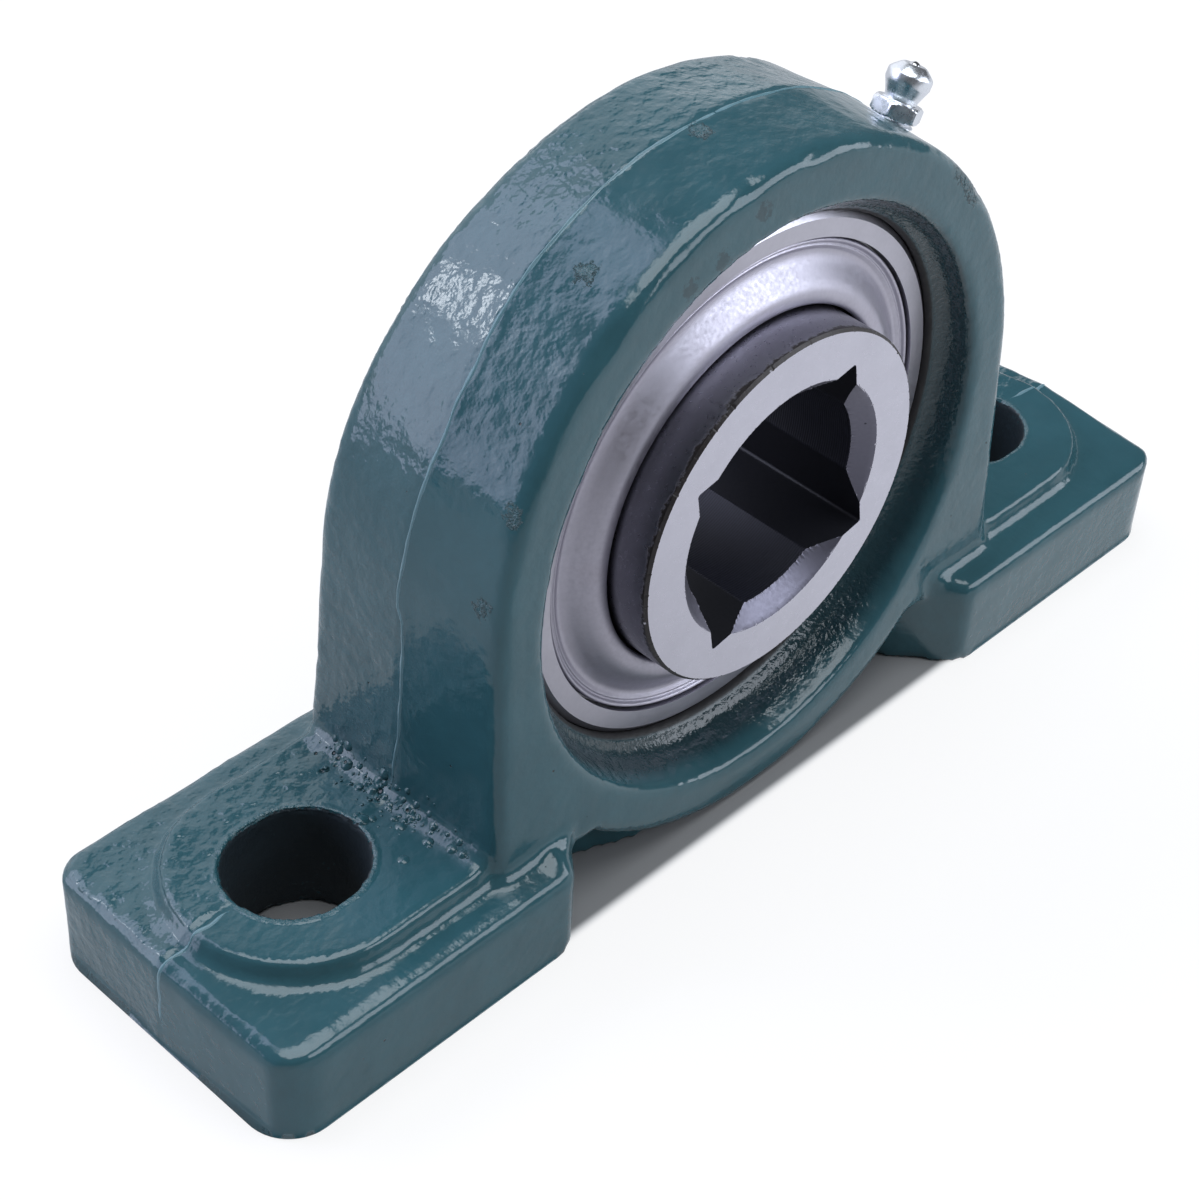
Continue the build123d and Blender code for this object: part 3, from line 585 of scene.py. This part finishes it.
def fittingFrame(c):
    a, b = math.radians(c["fittingAngle"]), math.radians(c["fittingLean"])
    base = np.array([c["ridgeRadius"] * math.cos(a), 0, shaftHeight + c["ridgeRadius"] * math.sin(a)])
    axis = np.array([math.cos(b), 0, math.sin(b)])
    return base, axis


def seamWander(x, z):
    # The parting line strays from y = 0 by two slow waves.
    flat = np.stack([x, 0 * x, z], -1)
    return 0.40 * unevenField(flat, 45.0, 11) + 0.10 * unevenField(flat, 10.0, 12)


def archReach(z, c):
    # Distance from the shaft axis to the arch: its radius above the axis, and below it the way out to the
    # flanks, which lean outwards in proportion to the drop.
    drop = np.maximum(shaftHeight - z, 0)
    return np.where(z > shaftHeight, c["archRadius"], np.hypot(c["archRadius"] + c["flankLean"] * drop, drop))


def evenSkin(source, voxel):
    # The node's triangles, merged and remeshed into even quads, then smoothed without shrinking.
    shell = bmesh.new()
    shell.from_mesh(source.data)
    bmesh.ops.remove_doubles(shell, verts=shell.verts, dist=1e-6)
    mesh = bpy.data.meshes.new("castHousing")
    shell.to_mesh(mesh)
    shell.free()
    piece = bpy.data.objects.new("castHousing", mesh)
    bpy.context.collection.objects.link(piece)
    even = piece.modifiers.new("even", "REMESH")
    even.mode, even.voxel_size = "VOXEL", voxel * mm
    skin = bpy.data.meshes.new_from_object(piece.evaluated_get(bpy.context.evaluated_depsgraph_get()))
    piece.modifiers.clear()
    piece.data = skin
    count = len(skin.vertices)
    points = np.empty(count * 3)
    skin.vertices.foreach_get("co", points)
    points = points.reshape(-1, 3) / mm
    ends = np.empty(len(skin.edges) * 2, np.int64)
    skin.edges.foreach_get("vertices", ends)
    ends = ends.reshape(-1, 2)
    near, far = np.concatenate([ends[:, 0], ends[:, 1]]), np.concatenate([ends[:, 1], ends[:, 0]])
    links = np.bincount(near, minlength=count)[:, None]
    for share in (0.5, -0.53) * 3:
        mean = np.stack([np.bincount(near, points[far, k], count) for k in range(3)], 1) / links
        points += share * (mean - points)
    return piece, skin, points


def castHousing(c):
    piece, skin, points = evenSkin(nodes["housing"], c["voxel"])
    skin.vertices.foreach_set("co", (points * mm).ravel())
    skin.update()
    out = np.empty(len(points) * 3)
    skin.vertex_normals.foreach_get("vector", out)
    out = out.reshape(-1, 3)
    x, y, z = points.T
    radial = np.hypot(x, z - shaftHeight)
    swell = sum(height * unevenField(points, length, k) for k, (length, height) in enumerate(c["lumps"]))
    swell *= 1 - (1 - c["faceShare"]) * ramp(np.abs(out[:, 1]), 0.5, 0.9)
    swell *= c["frontShare"] + (1.25 - c["frontShare"]) * ramp(y, -2, 2)
    # the arch falls away towards both faces
    faceAt = c["faceAtShaft"] + c["faceSlope"] * (shaftHeight - z)
    outside = c["outsideFrom"]
    onArch = ramp(radial, outside, outside + 2.5) * ramp(z, 19, 26) * ramp(-np.abs(out[:, 1]), -0.95, -0.75)
    swell -= c["edgeCrown"] * onArch * np.clip((np.abs(y) - faceAt + c["crownWidth"]) / c["crownWidth"], 0, 1) ** 2
    swell += c["seamSwell"] * np.exp(-(((y - seamWander(x, z)) / 1.0) ** 2)) * ramp(radial, outside, outside + 3)
    onPad = ramp(np.abs(x), c["padFrom"], c["padFrom"] + 3) * ramp(z, c["padTop"], c["padTop"] + 1.5)
    onPad *= ramp(out[:, 2], 0.6, 0.9) * ramp(y, 0.3, 1.2)
    swell += c["padRoughness"] * onPad * unevenField(points * (1, 0.6, 1), 2.4, 21)
    inRecess = ramp(-radial, -c["recessRadius"] - 1, -c["recessRadius"])
    inRecess *= ramp(np.abs(y), c["recessFrom"], c["recessFrom"] + 1)
    swell += c["recessRoughness"] * inRecess * unevenField(points, 2.0, 23)
    swell += c["burrHeight"] * np.exp(-(np.linalg.norm(points - c["burr"], axis=1) ** 2) / 1.6)
    quiet = ramp(z, 0.2, 1.2) * ramp(radial, 39.6, 41.4)
    # the arch's edges are bevelled and the feet's upright corners rounder than the solid's
    excess = radial - archReach(z, c) + np.abs(y) - faceAt + c["bevel"] + 0.2 * unevenField(points, 9.0, 31)
    excess = np.maximum(excess, 0) * ramp(radial, outside, outside + 2) * ramp(z, 18, 24) / 2
    points -= excess[:, None] * np.stack([x / radial, np.sign(y), (z - shaftHeight) / radial], 1)
    overX, overY = np.abs(x) - c["footCorner"][0], np.abs(y) - c["footCorner"][1]
    far = np.hypot(overX, overY)
    beyondCorner = np.maximum(far - c["footCornerRadius"], 0)
    pull = np.where((overX > 0) & (overY > 0) & (z < 16.5), beyondCorner, 0) / np.maximum(far, 1)
    points -= np.stack([pull * overX * np.sign(x), pull * overY * np.sign(y), 0 * x], 1)
    points += out * ((swell - 0.06) * quiet)[:, None]
    low, high = (np.array(v) / mm for v in cadBox)
    points = np.clip(points, low, high)
    # the feet's lower edge is crisp: the lowest points go out to the base's outline and down to it
    overX, overY = np.abs(points[:, 0]) - c["footCorner"][0], np.abs(points[:, 1]) - c["footCorner"][1]
    inward = np.where((overX > 0) & (overY > 0), np.hypot(overX, overY), np.maximum(overX, overY))
    lowest = (points[:, 2] < 0.5) & (inward > c["footCornerRadius"] - 0.9) & (np.abs(points[:, 0]) > 44)
    stretch = np.where(lowest, c["footCornerRadius"] / np.maximum(inward, 1), 1)
    for k, over in ((0, overX), (1, overY)):
        moved = np.sign(points[:, k]) * (c["footCorner"][k] + over * stretch)
        points[:, k] = np.where(lowest & (over > 0), moved, points[:, k])
    points[lowest, 2] = 0
    # the machined seat stays a clean sphere, and the tapped hole stays round
    centre = np.array([0, 0, shaftHeight])
    away = points - centre
    far = np.linalg.norm(away, axis=1)
    seat = (np.abs(y) < c["seatHalf"]) & (far < c["seatRadius"] + 0.5) & (far > c["seatInner"])
    points[seat] = centre + away[seat] / far[seat][:, None] * np.maximum(far[seat], c["seatRadius"])[:, None]
    base, axis = fittingFrame(c)
    deep = (points - base) @ axis
    beside = points - base - deep[:, None] * axis
    span = np.linalg.norm(beside, axis=1)
    hole = (span > c["holeInner"]) & (span < c["holeOuter"]) & (deep > c["holeLow"]) & (deep < c["holeHigh"])
    points[hole] += beside[hole] / span[hole][:, None] * np.maximum(0, c["holeRadius"] - span[hole])[:, None]
    skin.vertices.foreach_set("co", (points * mm).ravel())
    skin.update()
    skin.shade_smooth()
    dress(piece, enamel)
    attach(piece, "root")
    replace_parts(piece, "housing")
    print("casting:", len(points), "points")
    finder = bmesh.new()
    finder.from_mesh(skin)
    tree = BVHTree.FromBMesh(finder)
    finder.free()
    return tree


castingTree = castHousing(casting)


def castingHits(starts, headings):
    # Where rays from the starts meet the casting, in mm, with the normals there; misses are left out.
    found = [castingTree.ray_cast(Vector(s * mm), Vector(h), 0.06) for s, h in zip(starts, headings)]
    found = [(hit, normal) for hit, normal, index, gap in found if hit is not None]
    return np.array([hit for hit, normal in found]) / mm, np.array([normal for hit, normal in found])


# The seam that the two mould halves left, as a thin bead on the casting.
seam = {
    "halfWidth": 0.34,  # mm
    "height": 0.17,
    "sink": 0.3,
    "step": 0.4,
    "taper": 2.5,
    "fittingGap": 4.8,  # degrees of the arch left free round the grease fitting
    "archFrom": 19.2,  # height of its lower ends on the arch
    "widest": 91.0,  # it stays inside the feet's ends
    "highest": 100.06,  # and below the top of the arch
}


def seamBead(name, starts, headings, s):
    # The bead's section is a cosine hump over a flat underside. It is carried along the hits, across them
    # and out along the casting's normals, and narrows to a thread at both ends.
    centre, normal = castingHits(starts, headings)
    kernel = np.ones(5) / 5
    padded = np.pad(normal, ((2, 2), (0, 0)), "edge")
    normal = np.stack([np.convolve(padded[:, k], kernel, "valid") for k in range(3)], 1)
    padded = np.pad(centre, ((2, 2), (0, 0)), "edge")
    smooth = np.stack([np.convolve(padded[:, k], kernel, "valid") for k in range(3)], 1)
    centre[2:-2] = smooth[2:-2]
    along = np.gradient(centre, axis=0)
    along /= np.linalg.norm(along, axis=1)[:, None]
    normal -= (normal * along).sum(1)[:, None] * along
    normal /= np.linalg.norm(normal, axis=1)[:, None]
    across = np.cross(along, normal)
    run = np.concatenate([[0], np.linalg.norm(np.diff(centre, axis=0), axis=1).cumsum()])
    narrow = np.maximum(0.05, np.minimum(ramp(run, 0, s["taper"]), ramp(run[-1] - run, 0, s["taper"])))
    narrow *= 1 + 0.22 * np.sin(run / 1.7) * np.sin(run / 5.3) + 0.12 * np.sin(run / 0.6)
    u = np.concatenate([np.linspace(-1, 1, 9), [0.9, 0.0, -0.9]])
    up = np.concatenate([s["height"] * np.cos(np.pi * u[:9] / 2) ** 2 - 0.03, np.full(3, -s["sink"])])
    grid = (centre[None] + (u[:, None] * narrow)[..., None] * s["halfWidth"] * across[None]
            + (up[:, None] * narrow)[..., None] * normal[None])
    grid[..., 0] = np.clip(grid[..., 0], -s["widest"], s["widest"])
    grid[..., 2] = np.minimum(grid[..., 2], s["highest"])
    addSurface(name, grid, seamPaintedSheenEnamel, "root", closeAlong=False, sharpAngle=70)


def fan(middle, radius, first, last, s):
    # Rays aimed at a middle point (x, z) in the parting plane, from the first to the last angle.
    turns = np.radians(np.arange(first, last, math.degrees(s["step"] / radius)))
    x, z = middle[0] + radius * np.cos(turns), middle[1] + radius * np.sin(turns)
    starts = np.stack([x, seamWander(x, z), z], 1)
    return starts, np.stack([-np.cos(turns), 0 * turns, -np.sin(turns)], 1)


def level(side, low, high, s):
    # Rays aimed level at the arch's flank, from low to high.
    z = np.arange(low, high, s["step"])
    x = np.full_like(z, side * 75.0)
    return np.stack([x, seamWander(x, z), z], 1), np.stack([np.full_like(z, -side), 0 * z, 0 * z], 1)


def partingSeam(s, c):
    gap = s["fittingGap"]
    rightFlank, rightAim = level(1, s["archFrom"], shaftHeight, s)
    rightArch, rightArchAim = fan((0, shaftHeight), 60.0, 0, c["fittingAngle"] - gap, s)
    leftArch, leftArchAim = fan((0, shaftHeight), 60.0, c["fittingAngle"] + gap, 180, s)
    leftFlank, leftAim = level(-1, s["archFrom"], shaftHeight, s)
    seamBead("seamRight", np.vstack([rightFlank, rightArch]), np.vstack([rightAim, rightArchAim]), s)
    seamBead("seamLeft", np.vstack([leftArch, leftFlank[::-1]]), np.vstack([leftArchAim, leftAim[::-1]]), s)
    seamBead("seamLeftFoot", *fan((-79.5, 6.0), 30.0, 92, 190, s), s)
    seamBead("seamRightFoot", *fan((79.5, 6.0), 30.0, -10, 88, s), s)


partingSeam(seam, casting)

# Painted-over sand grains where the arch meets each pad.
grains = {
    "count": 150,  # each side
    "small": 0.22,  # mm
    "large": 1.15,
    "spread": 1.5,  # about the root line
    "rootAt": (52.6, 18.2),  # x and z of that line
    "halfLength": 14.5,
}


def sandGrains(g):
    # Icospheres set half into the root, each squashed along the casting's normal, all in one mesh.
    ball = bmesh.new()
    bmesh.ops.create_icosphere(ball, subdivisions=2, radius=1.0)
    template = np.array([v.co for v in ball.verts])
    triangles = np.array([[v.index for v in f.verts] for f in ball.faces])
    ball.free()
    blobs = []
    for side in (-1, 1):
        rng = np.random.default_rng(40 + side)
        n = g["count"]
        y = np.clip(rng.normal(-0.5, 6.5, n), -g["halfLength"], g["halfLength"])
        off = rng.normal(0, g["spread"], n)
        tilt = math.sqrt(0.5)
        heading = np.array([-side * tilt, 0, -tilt])
        starts = np.stack([side * (g["rootAt"][0] - off * tilt), y, g["rootAt"][1] + off * tilt], 1) - 20 * heading
        hits, normals = castingHits(starts, np.tile(heading, (n, 1)))
        size = g["small"] + (g["large"] - g["small"]) * rng.uniform(0, 1, len(hits)) ** 3.5
        squash = rng.uniform(0.6, 0.95, len(hits))
        shape = template[None] * size[:, None, None]
        height = np.einsum("npk,nk->np", shape, normals)
        shape = shape - ((1 - squash)[:, None] * height)[..., None] * normals[:, None]
        blobs.append(shape + (hits - normals * (0.4 * size)[:, None])[:, None])
    points = np.concatenate(blobs)
    faces = (triangles[None] + (np.arange(len(points)) * len(template))[:, None, None]).reshape(-1, 3)
    finishPiece("rootSandGrains", points.reshape(-1, 3), faces.tolist(), enamel, "root", 80)


sandGrains(grains)
print("seam and sand grains made")

# The inner ring, with a square bore and a cone mouth at each face.
ringShape = {
    "flat": 29.97,  # mm, across flats
    "turn": 11.72,  # degrees
    "cornerRadius": 0.5,
    "drilled": 16.2,  # radius of the hole that the square was broached into
    "mouthFlare": 3.77,
    "mouthDepth": 3.4,
    "half": 18.26,
    "radius": 26.0,
    "chamfer": 0.4,
    "grooveCentre": 30.15,
    "grooveRadius": 6.18,
    "around": 1080,
    "chip": 0.09,  # nicks in the edges
}


def squareReach(angle, s):
    # Distance from the middle to a square with rounded corners: the flat's distance over the cosine, or
    # where that passes the corner's centre, the far side of the corner's circle.
    a, rho = s["flat"] / 2, s["cornerRadius"]
    beta = np.abs((angle - math.radians(s["turn"]) + np.pi / 4) % (np.pi / 2) - np.pi / 4)
    c = a - rho
    toCentre = c * (np.cos(beta) + np.sin(beta))
    bend = toCentre + np.sqrt(np.maximum(rho**2 - 2 * c * c + toCentre**2, 0))
    return np.where(a * np.tan(beta) > c, bend, a / np.cos(beta))


def innerRing(s):
    # Rows of (radius, y) from the middle of the bore out over the front face and back to the race's
    # bottom, each a function of the angle, then the same rows in reverse on the rear side.
    angle = np.linspace(0, 2 * np.pi, s["around"], endpoint=False)
    square = np.maximum(squareReach(angle, s), s["drilled"])
    grow, half = s["mouthFlare"] / s["mouthDepth"], s["half"]
    mouth = s["flat"] / 2 + s["mouthFlare"]
    nick = s["chip"] * np.clip(ripple(angle, 5, 50, 260) - 0.6, 0, 2)
    nickOut = s["chip"] * np.clip(ripple(angle, 6, 60, 280) - 0.9, 0, 2)
    meet = np.clip((mouth - square) / grow, 0, s["mouthDepth"])
    meet = np.clip(meet + 0.05 * ripple(angle, 7, 60, 240) * ramp(meet, 0, 0.4), 0, s["mouthDepth"])
    one = np.ones_like(angle)
    rows = [(square, 0 * one)]
    rows += [(square, -(half - meet) * t) for t in (0.3, 0.6, 0.85, 0.97, 1.0)]
    rows += [(np.maximum(square, mouth - grow * meet * t), -(half - meet * t)) for t in (0.97, 0.75, 0.5, 0.25, 0.04)]
    lip = np.maximum(square, mouth) + nick
    rows += [(lip, -(half - 0.04) * one), (lip + 0.05, -half * one)]
    rim = s["radius"] - s["chamfer"] - nickOut
    rows += [(lip + (rim - lip) * t, -half * one) for t in (0.08, 0.5, 0.92, 1.0)]
    rows += [(s["radius"] * one, -(half - s["chamfer"] - 0.5 * nickOut))]
    rows += [(s["radius"] * one, -level * one) for level in (17.0, 16.0, 14.0, 11.0, 8.0, 5.0)]
    edge = math.sqrt(s["grooveRadius"] ** 2 - (s["grooveCentre"] - s["radius"]) ** 2)
    for y in edge * np.cos(np.linspace(0, np.pi / 2, 9)):
        rows.append(((s["grooveCentre"] - math.sqrt(s["grooveRadius"] ** 2 - y * y)) * one, -y * one))
    rows += [(r, -y) for r, y in rows[-2:0:-1]]
    r, y = np.stack([row[0] for row in rows], 1), np.stack([row[1] for row in rows], 1)
    cosine, sine = np.cos(angle)[:, None], np.sin(angle)[:, None]
    grid = np.stack([r * cosine, y, shaftHeight + r * sine], -1)
    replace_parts(addSurface("innerRing", grid, ringSteel, "shaft_ring", sharpAngle=28), "inner_ring")


innerRing(ringShape)

# The shroud: a pressed sheet band, two ridges at its rim, then a dish up to a rolled nose.
shroud = {
    "line": ((34.98, -9.35), (34.87, -9.8), (34.65, -10.1), (34.35, -10.02), (34.12, -9.66), (33.92, -9.56),
             (33.7, -9.7), (33.42, -9.55), (33.0, -9.32), (32.4, -9.36), (31.5, -9.86), (30.5, -10.7),
             (29.5, -11.55), (28.7, -12.05), (28.0, -12.25), (27.3, -12.28), (26.75, -12.15), (26.45, -11.8),
             (26.38, -11.3)),
    "thickness": 0.4,  # mm
    "around": 288,
}


def sealShroud(s, side, name, node):
    # The line is followed by a path set back by the sheet's thickness, and both turn round the shaft.
    front = smoothPath(s["line"], 5)
    step = np.gradient(front, axis=0)
    inwards = np.stack([step[:, 1], -step[:, 0]], 1) / np.linalg.norm(step, axis=1)[:, None]
    loop = np.vstack([front, (front + s["thickness"] * inwards)[::-1]])
    angle = np.linspace(0, 2 * np.pi, s["around"], endpoint=False)[:, None]
    r, y = loop[:, 0][None, :], np.tile(side * loop[:, 1], (s["around"], 1))
    grid = np.stack([r * np.cos(angle), y, shaftHeight + r * np.sin(angle)], -1)
    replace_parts(addSurface(name, grid, shroudSteel, "insert"), node)


sealShroud(shroud, 1, "shroudFront", "seal_shroud_front")
sealShroud(shroud, -1, "shroudBack", "seal_shroud_back")

# The grease fitting, as one skin round its own axis: thread, hex with bevelled corners, neck, head and tip.
fitting = {
    "around": 144,
    "threadRadius": 3.0,  # mm
    "threadDepth": 0.42,
    "threadPitch": 0.8,
    "threadFrom": -5.4,
    "hexFrom": 1.3,
    "hexTo": 3.6,
    "hexFlat": 3.22,  # half across flats
    "hexTurn": 18.0,  # degrees
    "hexBevel": 0.4,
    "line": ((2.5, 3.6), (2.35, 3.72), (2.33, 3.95), (2.45, 4.35), (2.75, 5.1), (3.08, 5.85), (3.19, 6.15),
             (3.19, 7.25), (3.1, 7.5), (2.6, 8.0), (2.0, 8.5), (1.72, 8.68), (1.55, 8.74), (0.9, 8.74),
             (0.72, 8.7), (0.68, 8.55), (0.9, 8.35), (1.02, 8.1), (0.7, 7.6), (0.4, 7.5)),
}


def greaseFitting(f, c):
    # Rows of (radius, height), each a function of the angle. Thread: the radius falls and rises once a
    # pitch, along a helix. Hex: the flat's distance over the cosine, cut by a cone at both ends.
    base, axis = fittingFrame(c)
    side = np.array([axis[2], 0, -axis[0]])
    other = np.cross(axis, side)
    angle = np.linspace(0, 2 * np.pi, f["around"], endpoint=False)
    rows = [(np.full_like(angle, 0.4), f["threadFrom"])]
    for z in np.arange(f["threadFrom"], f["hexFrom"], 0.1):
        wave = np.abs(((z / f["threadPitch"] - angle / (2 * np.pi)) % 1) * 2 - 1)
        start = min(1, (z - f["threadFrom"]) / 0.6)
        rows.append((f["threadRadius"] - f["threadDepth"] * (1 - ramp(wave, 0.1, 0.9)) * start - 0.4 * (1 - start), z))
    turn = (angle - math.radians(f["hexTurn"])) % (np.pi / 3) - np.pi / 6
    flat = f["hexFlat"] / np.cos(turn)
    corner, bevel = f["hexFlat"] / math.cos(math.pi / 6), f["hexBevel"]
    for share in (0, 0.3, 0.7, 1):
        rows.append((np.minimum(flat, corner - 1.3 * bevel * (1 - share)), f["hexFrom"] + bevel * share))
    for share in (1, 0.7, 0.3, 0):
        rows.append((np.minimum(flat, corner - 1.3 * bevel * (1 - share)), f["hexTo"] - bevel * share))
    rows += [(np.full_like(angle, r), z) for r, z in f["line"]]
    r = np.stack([row[0] for row in rows], 1)[..., None]
    z = np.array([row[1] for row in rows])[None, :, None]
    grid = base + r * (np.cos(angle)[:, None, None] * side + np.sin(angle)[:, None, None] * other) + z * axis
    piece = addSurface("greaseFittingBody", grid, zincPlate, "root", closeAlong=False, sharpAngle=28)
    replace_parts(piece, "grease_fitting_body")


greaseFitting(fitting, casting)
print("new pieces made")

# The studio: a white table and a white wall behind, a dim room in front, and soft lamps.
studio = {
    "roomLevel": 0.13,
    "wallLevel": 1.25,  # beyond what the camera sees, behind the object
    "wallFrom": 0.45,  # how far a direction leans to the rear where the wall starts
    "wallTo": 0.6,
    "tint": (0.93, 0.95, 1.0, 1),
    "tableWhite": 0.86,
    "tableSeen": 0.8,  # share of plain white in what the camera sees of the table
    "tableRear": 0.68,  # how bright reflections see it: behind, in front to the left, in the middle, to the right
    "tableLeft": 0.5,
    "tableMiddle": 0.75,
    "tableRight": 0.95,
    "paintedUnderShadow": 0.25,  # share of white left on the table under the object: a painted shadow
    "footprint": (89.4, 22.0),  # mm; under the object the table sends no white of its own, so its real shade shows over the painted shadow
    "footprintCorner": 6.0,
}


def tableMaterial(s):
    material = bpy.data.materials.new("paleTable")
    material.use_nodes = True
    tree = material.node_tree
    tree.nodes.clear()
    ray = addNode(tree, "LightPath", (), None)
    split = addNode(tree, "SeparateXYZ", (addNode(tree, "TexCoord", (), "Object"),), None)
    white = s["tableWhite"]
    # the footprint's outline: how far a point lies beyond a rectangle, against the corners' radius
    beyond = []
    for part, reach in zip(split, s["footprint"]):
        part = addNode(tree, "Math", (part,), operation="ABSOLUTE")
        part = addNode(tree, "Math", (part, (reach - s["footprintCorner"]) * mm), operation="SUBTRACT")
        beyond.append(addNode(tree, "Math", (part, 0.0), operation="MAXIMUM"))
    beyond = addNode(tree, "CombineXYZ", (beyond[0], beyond[1]))
    beyond = addNode(tree, "VectorMath", (beyond,), "Value", operation="LENGTH")
    clear = addNode(tree, "MapRange", (beyond, (s["footprintCorner"] - 1) * mm, (s["footprintCorner"] + 1) * mm),
            **eased)
    # painted shadow: under the object the table's white is darkened
    shade = addNode(tree, "Mix", {0: clear, 6: (white * s["paintedUnderShadow"],) * 3 + (1,),
            7: (white, white, white * 1.01, 1)}, **mixed)
    matt = addNode(tree, "BsdfDiffuse", {"Color": shade})
    seen = addNode(tree, "Math", (ray["Is Camera Ray"], s["tableSeen"]), operation="MULTIPLY")
    seen = addNode(tree, "Math", (seen, clear), operation="MULTIPLY")
    mirrored = addNode(tree, "Math", (ray["Is Glossy Ray"], ray["Is Transmission Ray"]), operation="MAXIMUM")
    mirrored = addNode(tree, "Math", (mirrored, 0.85), operation="MULTIPLY")
    mirrored = addNode(tree, "Math", (mirrored, clear), operation="MULTIPLY")
    toMiddle = addNode(tree, "MapRange", (split[0], -0.03, 0.004, s["tableLeft"], s["tableMiddle"]), **eased)
    toRight = addNode(tree, "MapRange", (split[0], -0.008, 0.06, 0.0, s["tableRight"] - s["tableMiddle"]), **eased)
    front = addNode(tree, "Math", (toMiddle, toRight), operation="ADD")
    toRear = addNode(tree, "MapRange", (split[1], -0.03, 0.06), **eased)
    level = addNode(tree, "Mix", {0: toRear, 2: front, 3: s["tableRear"]}, data_type="FLOAT")
    plain = addNode(tree, "Emission", {"Color": (1, 1, 1, 1), "Strength": 1.0})
    glow = addNode(tree, "Emission", {"Color": s["tint"], "Strength": level})
    both = addNode(tree, "MixShader", (seen, matt, plain))
    both = addNode(tree, "MixShader", (mirrored, both, glow))
    addNode(tree, "OutputMaterial", {"Surface": both})
    return material


def buildStudio(s):
    half = 6.0  # metres
    table = bpy.data.meshes.new("table")
    table.from_pydata([(-half, -half, -0.0002), (half, -half, -0.0002), (half, half, -0.0002), (-half, half, -0.0002)],
                      [], [(0, 1, 2, 3)])
    table.materials.append(tableMaterial(s))
    floor = bpy.data.objects.new("table", table)
    bpy.context.collection.objects.link(floor)
    world = bpy.data.worlds.new("softRoom")
    bpy.context.scene.world = world
    world.use_nodes = True
    tree = world.node_tree
    tree.nodes.clear()
    toward = addNode(tree, "TexCoord", (), "Generated")
    rearward = addNode(tree, "SeparateXYZ", (toward,), 1)
    level = addNode(tree, "MapRange", (rearward, s["wallFrom"], s["wallTo"], s["roomLevel"], s["wallLevel"]), **eased)
    room = addNode(tree, "Background", {"Color": s["tint"], "Strength": level})
    white = addNode(tree, "Background", {"Color": (1, 1, 1, 1), "Strength": 1.0})
    seen = addNode(tree, "LightPath", (), "Is Camera Ray")
    shown = addNode(tree, "MixShader", (seen, room, white))
    addNode(tree, "OutputWorld", {"Surface": shown})


def softbox(name, toward, distance, size, level, longAxis=(1, 0, 0), tint=(1, 1, 1)):
    # A lamp seen at a given level of brightness, in a direction from the arch, its long side along longAxis.
    middle = Vector((0, 0, 0.07))
    back = Vector(toward).normalized()
    side = Vector(longAxis)
    side = (side - side.dot(back) * back).normalized()
    lamp = bpy.data.lights.new(name, "AREA")
    lamp.shape = "RECTANGLE"
    lamp.size, lamp.size_y = size
    lamp.energy = math.pi * size[0] * size[1] * level
    lamp.color = tint
    holder = bpy.data.objects.new(name, lamp)
    facing = Matrix((side, back.cross(side), back)).transposed().to_4x4()
    holder.matrix_world = Matrix.Translation(middle + back * distance) @ facing
    bpy.context.collection.objects.link(holder)


buildStudio(studio)
softbox("rearSoftbox", (-0.52, 0.66, 0.54), 0.8, (1.25, 0.42), 2.8, (0.73, 0, 0.68), (0.7, 0.73, 1.0))
softbox("rearCore", (-0.555, 0.612, 0.565), 0.78, (0.12, 0.1), 12, (0.73, 0, 0.68), (0.9, 0.95, 1.0))
softbox("overheadSoftbox", (0.05, -0.05, 1.0), 0.95, (0.8, 0.8), 4.3, (1, 0, 0), (0.9, 0.95, 1.0))
softbox("frontSoftbox", (0.55, -0.7, 0.4), 1.0, (1.1, 0.48), 4.2, (0.8, 0.41, -0.37), (0.86, 0.91, 1.0))
print("studio set")
